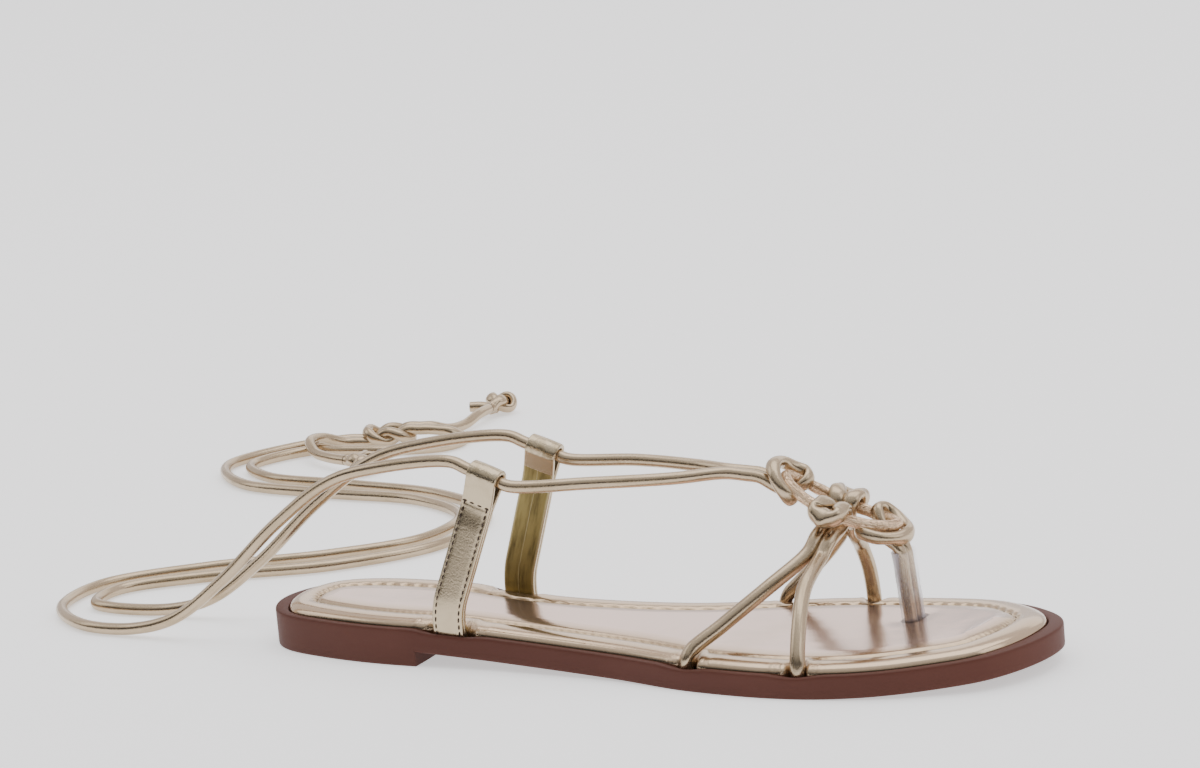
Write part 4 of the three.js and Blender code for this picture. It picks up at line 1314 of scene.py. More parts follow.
@dataclass
class Tube:
    """Foil cord along a path, with its skin gathered inside each bend.

    Args:
        path: The centreline, in short even steps.
        radius: The cord's radius.
        sides: How many faces go round it.
        press: How far it is pressed flat where it bends tightly.
        gather: How deep the folds are inside a tight bend.
        pitch: How far apart the folds lie.
        bend_steps: How often the measured bend is evened out.
        ends: How its first and last ends are finished.
        collars: Places where it is pressed wide: the middle, the way it spreads, and how far.
    """

    path: Points
    radius: float = 1.9
    sides: int = 20
    press: float = 0.24
    gather: float = 0.08
    pitch: float = 1.15
    bend_steps: int = 24
    ends: tuple[End, End] = (End.HIDDEN, End.HIDDEN)
    collars: tuple[tuple[Points, Points, float], ...] = ()

    def frames(self) -> tuple[Points, Points, Points]:
        """Tangents, and two directions across the cord that turn as little as they can."""
        p = self.path
        tangent = units(np.gradient(p, axis=0))
        first = np.cross(tangent[0], vec(0, 0, 1) if abs(tangent[0][2]) < 0.9 else vec(0, 1, 0))
        across = [unit(first)]
        for i in range(1, len(p)):
            a, t = across[-1], tangent[i - 1]
            v1 = p[i] - p[i - 1]
            c1 = v1 @ v1
            a_mid = a - v1 * (2 / c1) * (v1 @ a)
            t_mid = t - v1 * (2 / c1) * (v1 @ t)
            v2 = tangent[i] - t_mid
            c2 = v2 @ v2
            across.append(unit(a_mid - v2 * (2 / c2) * (v2 @ a_mid)) if c2 > 1e-12 else a_mid)
        across = np.array(across)
        return tangent, across, np.cross(tangent, across)

    def add_to(self, shell: Shell) -> None:
        """Adds the tube to a shell."""
        tangent, a, b = self.frames()
        run = run_along(self.path)
        bend = settled(np.gradient(tangent, run, axis=0), self.bend_steps)
        angle = np.linspace(0, 2 * math.pi, self.sides, endpoint=False)
        facing = a[:, None] * np.cos(angle)[None, :, None] + b[:, None] * np.sin(angle)[None, :, None]
        inside = np.einsum("ik,ijk->ij", bend, facing) * self.radius
        squeeze = ease(inside, 0.3, 0.75)
        phase = 2 * math.pi * run / self.pitch + 1.3 * np.sin(run * 0.8) + 0.7 * np.sin(run * 2.1)
        folds = 0.5 + 0.5 * np.sin(phase)[:, None] * np.cos(angle * 2 + 1)[None, :] ** 2
        radius = self.radius - self.gather * squeeze * folds
        curve = np.linalg.norm(bend, axis=1)
        inwards = bend / np.maximum(curve, 1e-9)[:, None]
        beside = np.cross(tangent, inwards)
        flat = (self.press * ease(curve * self.radius, 0.12, 0.55))[:, None, None]
        offset = facing * radius[..., None]
        offset -= flat * np.einsum("ik,ijk->ij", inwards, offset)[..., None] * inwards[:, None]
        offset += flat * np.einsum("ik,ijk->ij", beside, offset)[..., None] * beside[:, None]
        for middle, way, spread in self.collars:
            near = spread * bell(np.linalg.norm(self.path - middle, axis=1), 3.6)
            offset += (near[:, None] * (offset @ way))[..., None] * way
        skin = self.path[:, None] + offset
        # the squeeze mark: where the foil gathers inside bends, which the cord foil darkens with painted
        # shade
        grid = shell.add(skin, squeeze=squeeze)
        shell.sheet(grid, close=True, u=np.linspace(0, 1, self.sides + 1), v=run * MM)
        for at, end in ((0, self.ends[0]), (-1, self.ends[1])):
            self.close(shell, grid[at], self.path[at], tangent[at] * (1 if at else -1), facing[at], end)

    def close(
        self, shell: Shell, ring: np.ndarray, middle: Points, outwards: Points, facing: Points, end: End
    ) -> None:
        """Closes one end: plainly where it is hidden, or cut square with the core a little back."""
        if end is End.HIDDEN:
            shell.fan(ring, shell.add(middle[None])[0])
            return
        lip = shell.add(middle + facing * (self.radius - 0.12) + outwards * 0.14)
        wall = shell.add(middle + facing * (self.radius - 0.42) + outwards * 0.12)
        core = shell.add(middle + facing * (self.radius - 0.55) - outwards * 0.1)
        inner = shell.add(middle + facing * (self.radius * 0.35) + outwards * 0.05)
        shell.sheet(np.array([ring, lip, wall]), close=True)
        shell.sheet(np.array([wall, core]), close=True, paint=1)
        shell.sheet(np.array([core, inner]), close=True, paint=1)
        shell.fan(inner, shell.add((middle + outwards * 0.1)[None])[0], paint=1)


@dataclass
class InstepRing:
    """The oval ring of cord that the sandal's cords are hitched to, tilted down to the toe.

    Args:
        cord: The ring's own thickness.
        length: Its outer length.
        width: Its outer width.
        sag: How far its two sides hang below its ends.
        middle: Its middle.
        tilt: How many degrees its front points down.
        turn: How many degrees its front points to the medial side.
        uneven: How far its skin strays where the foil is gathered.
        run: The foil's length round the ring, in metres.
    """

    cord: float = 3.6
    length: float = 39
    width: float = 17.5
    sag: float = 2.6
    middle: tuple[float, float, float] = (185.2, 11, 45.2)
    tilt: float = 24
    turn: float = 6.4
    uneven: float = 0.05
    run: float = 0.086

    def __post_init__(self) -> None:
        """Works out the ring's axes."""
        t, y = math.radians(self.tilt), math.radians(self.turn)
        self.forward = vec(math.cos(t) * math.cos(y), math.cos(t) * math.sin(y), -math.sin(t))
        self.medial = vec(-math.sin(y), math.cos(y), 0)
        self.normal = np.cross(self.forward, self.medial)
        self.long = (self.length - self.cord) / 2
        self.short = (self.width - self.cord) / 2

    def place(self, angle: float, outward: float = 0, up: float = 0) -> Points:
        """A point on or beside the ring's middle line."""
        along, across = math.cos(angle), math.sin(angle)
        facing = np.array([along / self.long, across / self.short])
        facing /= np.linalg.norm(facing)
        return (
            np.array(self.middle)
            + self.forward * (self.long * along + facing[0] * outward)
            + self.medial * (self.short * across + facing[1] * outward)
            + self.normal * (up - self.sag * across**2)
        )

    def build(
        self, placing: Placing, finishes: Finishes, around: int = 220, sides: int = 20
    ) -> Object:
        """Makes the ring, a little uneven where its foil is gathered."""
        shell = Shell()
        angles = np.linspace(0, 2 * math.pi, around, endpoint=False)
        phis = np.linspace(0, 2 * math.pi, sides, endpoint=False)
        skin = []
        for t in angles:
            rough = self.uneven * math.sin(13 * t) * math.sin(3 * t + 1)
            fold = [self.uneven * math.sin(3 * p + 7 * math.sin(t * 3)) for p in phis]
            radius = [self.cord / 2 - 0.04 + rough + f for f in fold]
            skin.append([self.place(t, r * math.cos(p), r * math.sin(p)) for p, r in zip(phis, radius)])
        grid = shell.add(np.array(skin))
        run = np.linspace(0, self.run, around + 1)
        closed = np.vstack([grid, grid[:1]])
        shell.sheet(closed, close=True, u=np.linspace(0, 1, sides + 1), v=run)
        return enter(shell.build("instep_ring", placing, [finishes.ring]), Slot.CORD, "upper")


Row = tuple[float, float, float]

SIDE_HITCH: tuple[Row, ...] = (
    (-0.54, 3.3, -0.45), (-0.54, 1.9, -0.5), (-0.55, 0.7, -0.98), (-0.58, -0.25, -0.9), (-0.6, -0.82, -0.1),
    (-0.8, -0.35, 0.75), (-1.15, 0.25, 1), (-0.85, 0.78, 1.1), (0, 0.88, 1.1),
)  # fmt: skip
POST_OVER: tuple[Row, ...] = (
    (-0.54, 3.3, 0.2), (-0.54, 1.9, 0.12), (-0.52, 0.75, -1.05), (-0.6, -0.35, -1.75), (-1.15, -1.05, -2.15),
    (-1.95, -0.85, -1.9), (-2.15, -0.1, -1.05), (-1.6, 0.45, -0.1), (-0.85, 0.8, 0.6), (0, 0.9, 0.8),
)  # fmt: skip
POST_UNDER: tuple[Row, ...] = (
    (-0.54, 3.3, 0.2), (-0.54, 1.9, 0.12), (-0.52, 0.9, -1.05), (-0.6, 0.3, -1.9), (-1.1, -0.1, -2.55),
    (-1.75, -0.15, -2.7), (-2.2, 0, -2), (-2.25, 0.35, -1.05), (-1.65, 0.62, -0.15), (-0.85, 0.85, 0.55),
    (0, 0.9, 0.8),
)  # fmt: skip
TIE_UNDER: tuple[Row, ...] = (
    (-0.54, 3.3, -0.1), (-0.54, 2.1, -0.15), (-0.5, 0.9, -0.75), (-0.5, -0.1, -1.15), (-0.85, -0.85, -1.65),
    (-1.45, -0.95, -1.55), (-1.85, -0.4, -0.85), (-1.6, 0.35, 0), (-0.85, 0.9, 0.75), (0, 1.05, 1),
)  # fmt: skip
TIE_OVER: tuple[Row, ...] = (
    (-0.54, 3.3, -0.1), (-0.54, 2.1, -0.15), (-0.55, 0.85, -0.85), (-0.6, -0.35, -1.1), (-0.75, -1.3, -0.8),
    (-1.4, -1.6, -0.25), (-1.9, -1.05, -0.1), (-1.75, -0.1, 0.3), (-1.15, 0.65, 0.8), (0, 1.05, 1),
)  # fmt: skip


@dataclass
class Hitch:
    """A cow hitch of doubled cord round the ring.

    Args:
        ring: The ring.
        angle: Where on the ring it sits.
        rows: The first strand's points from the leg to the collar: side, down and front, in cord spacings.
        others: The second strand's, which mirror the side.
        down: The way that its legs leave.
        front: The side that its collar shows on.
        cord: The cord's diameter.
    """

    ring: InstepRing
    angle: float
    rows: tuple[Row, ...]
    others: tuple[Row, ...]
    down: Points
    front: Points
    cord: float = TIE_CORD

    def __post_init__(self) -> None:
        """Squares the hitch's three directions."""
        self.down = unit(self.down)
        self.front = unit(self.front - self.down * (self.front @ self.down))
        self.side = unit(np.cross(self.down, self.front))
        self.step = (self.cord / 2 + self.ring.cord / 2) * 0.96
        self.half_fibre_gap_shade = -self.rows[0][0] * self.step

    def at(self, row: Row, mirror: float = 1) -> Points:
        """A row's point on the first leg, or with mirror -1 on the second."""
        side, down, front = (v * self.step for v in row)
        across = self.side * (mirror * side)
        return self.ring.place(self.angle) + across + self.down * down + self.front * front

    def path(self, first: list[Points], second: list[Points]) -> Points:
        """The cord's points: one leg, the hitch, and the other leg."""
        there = [self.at(row) for row in self.rows]
        back = [self.at(row, -1) for row in self.others[:-1]][::-1]
        return np.array([*first, *there, *back, *second])


@dataclass
class Upper:
    """The ring with its four hitches: the toe post, the two forefoot pairs and the tie."""

    form: SoleForm
    ring: InstepRing
    set_in: float = 4.6
    sleeve_wall: float = 0.5
    sleeve_sides: int = 12
    sleeve_clears: float = 9
    fine: float = 0.4
    ease_steps: int = 12
    spread: float = 0.5
    straight: tuple[Row, ...] = ((0.3, 0.6, 0.4), (0.65, 0.6, 0.4))
    bowed: tuple[Row, ...] = ((0.3, 1.8, 2.3), (0.65, 2, 1.5))

    def __post_init__(self) -> None:
        """Sets the four hitches on the ring."""
        self.post_foot = vec(*POST, float(self.form.seat(POST[0])) + 2 * self.form.clear)
        self.sleeve_inner = TIE_CORD / 2 + self.form.clear
        down = self.post_foot - self.ring.place(0)
        self.post_hitch = Hitch(self.ring, 0, POST_OVER, POST_UNDER, down, vec(1, 0, 0.1))
        along, towards = vec(-0.25, -0.72, -0.78), vec(0.1, -0.72, 0.72)
        self.lateral = Hitch(self.ring, -0.5 * math.pi, SIDE_HITCH, SIDE_HITCH, along, towards, FOREFOOT_CORD)
        along, towards = vec(-0.2, 0.6, -0.8), vec(0.1, 0.8, 0.6)
        self.medial = Hitch(self.ring, 0.5 * math.pi, SIDE_HITCH, SIDE_HITCH, along, towards, FOREFOOT_CORD)
        self.tie = Hitch(self.ring, math.pi, TIE_UNDER, TIE_OVER, vec(-1, -0.12, 0.1), vec(0.1, 0, 1))

    def leg(self, hitch: Hitch, side: Side, x: float, bow: tuple[Row, ...]) -> list[Points]:
        """A forefoot cord from inside the sole's edge up towards its hitch.

        Args:
            hitch: Where it goes.
            side: The side of the foot.
            x: Its distance from the back of the heel.
            bow: Places along the way: share, and how far out and up it bows there.

        Returns:
            The leg's points, from the seat up.
        """
        y = self.form.edge(x, side) - side.value * self.set_in
        foot = vec(x, y, float(self.form.seat(x)) + self.form.clear)
        rise = vec(x, y, float(self.form.rim(x)) + 2)
        goal = self.ring.place(hitch.angle) + hitch.down * (hitch.rows[0][1] * hitch.step)
        curve = [rise + (goal - rise) * share + vec(0, side.value * out, up) for share, out, up in bow]
        return [foot, rise, *curve]

    def forefoot_pair(self, hitch: Hitch, side: Side) -> Points:
        """Both legs of a forefoot cord with its hitch between them."""
        rear, front = CORD_STATIONS[side]
        legs = [self.leg(hitch, side, rear, self.straight), self.leg(hitch, side, front, self.bowed)]
        if hitch.side[0] < 0:
            legs.reverse()
        return hitch.path(legs[0], legs[1][::-1])

    def post_line(self) -> tuple[Points, Points]:
        """The toe post's middle line, from the seat to its hitch."""
        h = self.post_hitch
        top = h.at((0, *h.rows[0][1:]))
        reach = (top[2] - self.post_foot[2]) / -h.down[2]
        return top + h.down * reach, top

    def post_path(self) -> Points:
        """The toe post's doubled cord."""
        foot, top = self.post_line()
        h = self.post_hitch
        first, second = (
            [foot + (top - foot) * share + h.side * (sign * h.half_fibre_gap_shade) for share in (0, 0.4, 0.8)]
            for sign in (-1, 1)
        )
        return h.path(first, second[::-1])

    def piece(
        self, name: str, points: Points, hitch: Hitch, placing: Placing, finish: Material, *nodes: str
    ) -> None:
        """Makes one cord of the upper, which stands for its nodes.

        Args:
            name: The piece's name.
            points: The points that its centreline passes through.
            hitch: The hitch whose collar is pressed wide.
            placing: How points come into the row frame.
            finish: Its foil.
            *nodes: The CAD nodes that it stands for.
        """
        shell = Shell()
        path = settled(Smooth(points).walk(self.fine), self.ease_steps)
        spread = self.spread if hitch.cord > TIE_CORD else self.spread / 2
        Tube(path, hitch.cord / 2, collars=((hitch.at(hitch.rows[-1]), hitch.down, spread),)).add_to(shell)
        enter(shell.build(name, placing, [finish]), Slot.CORD, *nodes)

    def sleeve(self, placing: Placing, finish: Material) -> None:
        """Makes the clear oval tube on the toe post."""
        foot, top = self.post_line()
        h = self.post_hitch
        inner, wall, sides = self.sleeve_inner, self.sleeve_wall, self.sleeve_sides
        collar = h.rows[-1][1] * h.step + TIE_CORD / 2
        low, high = self.post_foot[2], self.ring.place(0)[2] - collar - self.sleeve_clears * self.form.clear
        lean = (top - foot) / (top[2] - foot[2])
        shell = Shell()
        starts = ((1, 0), (-1, math.pi))
        turns = [(end, i / sides * math.pi + start) for end, start in starts for i in range(sides + 1)]

        def ring(radius: float, z: float, swell: float = 0) -> np.ndarray:
            """One level of one wall."""
            r = radius + swell
            flat = [(r * math.cos(t), end * h.half_fibre_gap_shade + r * math.sin(t), 0) for end, t in turns]
            return shell.add(np.array(flat) + foot + lean * (z - foot[2]))

        heights = np.linspace(low, high, 15)
        flare = [0.12 * bell(z - high, 2) + 0.05 * math.sin(z * 0.9) for z in heights]
        outer = [ring(inner + wall, z, f) for z, f in zip(heights, flare)]
        lip = [ring(inner + wall * 0.8, high + 0.12, 0.12), ring(inner + wall * 0.3, high + 0.12, 0.12)]
        inside = [ring(inner, z, f) for z, f in zip(heights[::-1], flare[::-1])]
        shell.sheet(np.array([*outer, *lip, *inside, outer[0]]), close=True)
        enter(shell.build("toe_post_tube", placing, [finish]), Slot.SLEEVE, "toe_post_sleeve")

    def build(self, placing: Placing, finishes: Finishes, spans: dict[Side, list[Points]]) -> None:
        """Makes the ring, the hitched cords with the held spans of the ties, and the sleeve.

        Args:
            placing: How points come into the row frame.
            finishes: The sandal's finishes.
            spans: Each tie's held span, from the hitch to the inside of its tab.
        """
        foil = finishes.cord
        self.ring.build(placing, finishes)
        self.piece("toe_post_cord", self.post_path(), self.post_hitch, placing, foil, "upper")
        for side, hitch in ((Side.LATERAL, self.lateral), (Side.MEDIAL, self.medial)):
            path = self.forefoot_pair(hitch, side)
            self.piece(f"forefoot_cord_{side.label}", path, hitch, placing, foil, "upper")
        first = Side.MEDIAL if self.tie.side[1] < 0 else Side.LATERAL
        second = Side.LATERAL if first is Side.MEDIAL else Side.MEDIAL
        path = self.tie.path(spans[first][::-1], spans[second])
        held = [f"tie_span_{side.label}" for side in Side]
        self.piece("tie_hitch", path, self.tie, placing, foil, "upper", *held)
        self.sleeve(placing, finishes.sleeve)


# ---------------------------------------------------------------------------------------------
# Ankle tabs
# ---------------------------------------------------------------------------------------------


@dataclass
class StitchRows:
    """Rows of sewing stitches laid along lines by Geometry Nodes.

    Args:
        pitch: How far apart the stitches start, in millimetres.
        length: How long a stitch is, in millimetres.
        radius: The thread's radius, in millimetres.
        wander: How far a stitch strays from its place, in millimetres.
        seed: What the straying is drawn from.
    """

    pitch: float
    length: float
    radius: float
    wander: float = 0.06
    seed: int = 7

    def tree(self) -> bpy.types.NodeTree:
        """The node tree, with its sizes as named inputs."""
        tree = bpy.data.node_groups.new("stitch_rows", "GeometryNodeTree")
        sizes = dict.fromkeys(("Pitch", "Length", "Radius", "Wander"), "Float")
        for name, kind in {"Lines": "Geometry", **sizes, "Seed": "Int", "Thread": "Material"}.items():
            tree.interface.new_socket(name, in_out="INPUT", socket_type=f"NodeSocket{kind}")
        tree.interface.new_socket("Stitches", in_out="OUTPUT", socket_type="NodeSocketGeometry")
        nodes = Nodes(tree)
        given = nodes.node("NodeGroupInput").outputs

        def made(kind: str, out: str, settings: dict | None = None, **inputs: object) -> Socket:
            """A node of the tree with its inputs fed, by the output that is wanted."""
            return nodes.node(kind, settings, inputs).outputs[out]

        wander, length = Value(nodes, given["Wander"]), Value(nodes, given["Length"])
        evenly, vector = {"mode": "LENGTH"}, {"data_type": "FLOAT_VECTOR"}
        even = made("GeometryNodeResampleCurve", "Curve", evenly, Curve=given["Lines"], Length=given["Pitch"])
        reach = {"Min": wander * -1.0, "Max": wander}
        stray = made("FunctionNodeRandomValue", "Value", vector, **reach, Seed=given["Seed"])
        places = made("GeometryNodeSetPosition", "Geometry", Geometry=even, Offset=stray)
        ball = made("GeometryNodeMeshUVSphere", "Mesh", Segments=8, Rings=7, Radius=1)
        size = made("ShaderNodeCombineXYZ", "Vector", X=given["Radius"], Y=given["Radius"], Z=length * 0.5)
        stitch = made("GeometryNodeTransform", "Geometry", Geometry=ball, Scale=size)
        tangent = made("GeometryNodeInputTangent", "Tangent")
        turn = made("FunctionNodeAlignRotationToVector", "Rotation", {"axis": "Z"}, Vector=tangent)
        stitches = {"Points": places, "Instance": stitch, "Rotation": turn}
        laid = made("GeometryNodeInstanceOnPoints", "Instances", **stitches)
        whole = made("GeometryNodeRealizeInstances", "Geometry", Geometry=laid)
        soft = made("GeometryNodeSetShadeSmooth", "Geometry", Geometry=whole)
        dressed = made("GeometryNodeSetMaterial", "Geometry", Geometry=soft, Material=given["Thread"])
        nodes.node("NodeGroupOutput", None, {"Stitches": dressed})
        return tree

    def build(
        self, name: str, lines: list[Points], placing: Placing, thread: Material
    ) -> Object:
        """Lays stitches along lines and makes them one plain mesh.

        Args:
            name: The piece's name.
            lines: Each row's points, in millimetres.
            placing: How points come into the row frame.
            thread: The stitches' material.

        Returns:
            The stitches' object.
        """
        data = bpy.data.curves.new(f"{name}_line", "CURVE")
        data.dimensions = "3D"
        for line in lines:
            spline = data.splines.new("POLY")
            spline.points.add(len(line) - 1)
            flat = np.column_stack([placing.to_row(line), np.ones(len(line))])
            spline.points.foreach_set("co", flat.reshape(-1))
        holder = into_scene(f"{name}_line", data)
        tree = self.tree()
        modifier = holder.modifiers.new("stitches", "NODES")
        modifier.node_group = tree
        values = {
            "Pitch": self.pitch * MM,
            "Length": self.length * MM,
            "Radius": self.radius * MM,
            "Wander": self.wander * MM,
            "Seed": self.seed,
            "Thread": thread,
        }
        for item in tree.interface.items_tree:
            if item.in_out == "INPUT" and item.name in values:
                modifier[item.identifier] = values[item.name]
        depsgraph = bpy.context.evaluated_depsgraph_get()
        mesh = bpy.data.meshes.new_from_object(holder.evaluated_get(depsgraph))
        mesh.name = name
        bpy.data.objects.remove(holder)
        return into_scene(name, mesh)


@dataclass
class AnkleTab:
    """A strap folded over itself round the tie: two layers sewn together, with a loop at the top.

    Args:
        form: The sole's form.
        side: The side of the foot that it stands on.
        x: Its distance from the back of the heel.
        inward: How far it leans in over the foot, with its sign.
        width: The strap's width.
        strap: The strap's thickness.
        height: How high the loop's top stands over the seat.
        lean: How far it leans to the toe.
        set_in: How far inside the sole's edge it goes down.
        upright: How high it stands straight before it leans.
        cross_row: How high the row of stitches across it lies.
        row_inset: How far the rows of stitches lie from its edges.
        stitch: How far apart the stitches lie.
        step: The length of a step along the strap.
        crown: How far its outer face swells in the middle.
        sewn_in: How far the rows of stitches sink into it.
        pulled_in: How much further each stitch pulls it in.
        bar_in: How far the row across it sinks in.
    """

    form: SoleForm
    finishes: Finishes
    side: Side
    x: float
    inward: float
    width: float = 10
    strap: float = 1.4
    height: float = 54.5
    lean: float = 16
    set_in: float = 3.4
    upright: float = 9
    cross_row: float = 42.2
    row_inset: float = 1.15
    stitch: float = 2.1
    step: float = 0.7
    crown: float = 0.14
    sewn_in: float = 0.10
    pulled_in: float = 0.06
    bar_in: float = 0.16

    def __post_init__(self) -> None:
        """Works out the loop's sizes and the lean."""
        self.loop_inner = TIE_CORD / 2 + self.form.clear
        self.loop_outer = self.loop_inner + self.strap
        self.loop_height = self.height - self.loop_outer
        self.neck = self.loop_height - 2.2 * self.loop_outer
        self.leaning = unit(vec(self.lean, self.inward, self.height - self.upright))

    def place(self, across: float, thick: float, height: float) -> Points:
        """A point of the tab, from how far across, through and up it lies."""
        share = min(1.0, max(0.0, (height - self.upright * 0.5) / self.upright))
        up = unit(vec(0, 0, 1) * (1 - share) + self.leaning * share)
        width = unit(vec(1, 0, 0) - up * up[0])
        leaned = share**2 / 2 * self.upright + max(0.0, height - self.upright * 1.5)
        risen = min(height, self.upright * 0.5) + (share - share**2 / 2) * self.upright
        foot = vec(
            self.x,
            self.form.edge(self.x, self.side) - self.side.value * self.set_in,
            float(self.form.seat(self.x)) + self.form.clear + risen,
        )
        return foot + self.leaning * leaned + width * across + np.cross(up, width) * thick

    def fold(self) -> tuple[Points, Points, Points]:
        """The strap's middle line in its side view, the way it faces, and how sharply it bends.

        Returns:
            Points in thickness and height from the outer foot over the loop to the inner foot, their
            outward directions, and the bend from 0 to 1.
        """
        t = self.strap / 2
        middle = self.loop_inner + t
        outer = self.side.value
        arc = [math.radians(204 - i * 12) for i in range(20)]
        up = [(outer * t, h) for h in (0.0, 6, 14, 24, 34, self.neck - 1)]
        loop = [(-outer * middle * math.cos(a), self.loop_height + middle * math.sin(a)) for a in arc]
        down = [(-outer * t, h) for h in (self.neck - 1, 34, 24, 14, 6, 0.0)]
        line = Smooth(np.array([(x, h, 0) for x, h in [*up, *loop, *down]])).walk(self.step)[:, :2]
        along = units(np.gradient(line, axis=0))
        facing = np.column_stack([along[:, 1], -along[:, 0]]) * outer
        bend = np.linalg.norm(np.gradient(along, axis=0), axis=1) / self.step
        return line, facing, ease(bend, 0.12, 0.3)

    def profile(self) -> Points:
        """The strap's own section, across and through, with rounded cut edges."""
        half, t, r = self.width / 2, self.strap / 2 - 0.03, 0.42

        def corner(across: int, through: int, start: float) -> list[tuple[float, float]]:
            """A rounded corner of the section."""
            turns = [math.radians(start - a) for a in (0, 30, 60, 90)]
            return [
                (across * (half - r) + r * math.cos(a), through * (t - r) + r * math.sin(a)) for a in turns
            ]

        top = [(x, t) for x in np.linspace(-half + 0.9, half - 0.9, 18)]
        under = [(x, -t) for x in np.linspace(half - 1.2, -half + 1.2, 6)]
        right, left = [*corner(1, 1, 90), *corner(1, -1, 0)], [*corner(-1, -1, -90), *corner(-1, 1, -180)]
        return np.array([*right, *under, *left, *top])

    def build_strap(self, placing: Placing) -> Object:
        """Makes the folded strap."""
        line, facing, bend = self.fold()
        profile = self.profile()
        n = len(line)
        half = self.width / 2
        shell = Shell()
        run = np.arange(n) * self.step
        rows = []
        for i in range(n):
            x, h = line[i]
            on_outer = x * self.side.value > 0 and i < n / 2
            sewn = 1.0 if on_outer and 0.5 < h < self.cross_row + 1 else 0.0
            ring = []
            for across, through in profile:
                deep = through
                if through > self.strap / 2 - 0.1:
                    row = bell(abs(across) - (half - self.row_inset), 0.42)
                    between = on_outer and abs(across) < half - self.row_inset
                    bar = bell(h - self.cross_row, 0.5) if between else 0
                    crown = self.crown * (1 - (across / half) ** 2)
                    pulled = 0.5 + 0.5 * math.cos(2 * math.pi * run[i] / self.stitch)
                    deep += crown - sewn * (self.sewn_in + self.pulled_in * pulled) * row - self.bar_in * bar
                ring.append(self.place(across, x + facing[i][0] * deep, max(h + facing[i][1] * deep, 0)))
            # the squeeze mark here sets painted shade in the strap foil's wrinkles at the bends
            rows.append(shell.add(np.array(ring), squeeze=np.full(len(profile), bend[i])))
        grid = np.array(rows)
        through = profile[:, 1]
        outward = np.minimum(through, np.roll(through, -1)) > self.strap / 2 - 0.2
        inner = (np.arange(n - 1) > n / 2) & (line[:-1, 1] < self.neck + 2)
        u = np.append(profile[:, 0], profile[0, 0]) / self.width + 0.5
        shell.sheet(grid, close=True, paint=inner[:, None] & outward, u=u, v=run * MM)
        skin = np.vstack(shell.points)
        for at in (0, -1):
            shell.fan(grid[at], shell.add(skin[grid[at]].mean(axis=0)[None])[0])
        name = f"ankle_strap_{self.side.label}"
        piece = shell.build(name, placing, [self.finishes.strap, self.finishes.lining], crease=55)
        return enter(piece, Slot.CORD, f"ankle_tab_{self.side.label}")

    def stitch_lines(self) -> list[Points]:
        """The rows of stitches down both edges of the outer face and across under the loop."""
        on = self.side.value * (self.strap + 0.02)
        side = self.width / 2 - self.row_inset
        heights = np.arange(1.6, self.cross_row, 1.0)
        rows = [np.array([self.place(a, on, h) for h in heights]) for a in (-side, side)]
        raised = on + self.side.value * 0.12
        bar = np.array([self.place(a, raised, self.cross_row) for a in np.linspace(-side, side, 9)])
        return [*rows, bar]

    def build(self, placing: Placing) -> None:
        """Makes the strap and its stitches."""
        self.build_strap(placing)
        name = f"ankle_stitches_{self.side.label}"
        rows = StitchRows(pitch=self.stitch, length=1.5, radius=0.24)
        enter(rows.build(name, self.stitch_lines(), placing, self.finishes.dark_thread), Slot.CORD)

    def span(self, tie: Hitch) -> list[Points]:
        """The tie's held span, from the rear hitch to the inside of this tab's loop."""
        mirror = -math.copysign(1, tie.side[1]) * self.side.value
        start = tie.at(tie.rows[0], mirror) + tie.down * self.form.clear
        goal = self.place(self.width, 0, self.loop_height)
        sag = [
            start + (goal - start) * share + vec(0, self.side.value * out, up)
            for share, out, up in ((0.3, 1.5, 0.6), (0.65, 2.5, 0.9))
        ]
        ends = [self.place(a, 0, self.loop_height) for a in (self.width * 0.8, self.width * 0.4, 0)]
        return [start + tie.down * 6, *sag, *ends]


# ---------------------------------------------------------------------------------------------
# Free ties
# ---------------------------------------------------------------------------------------------


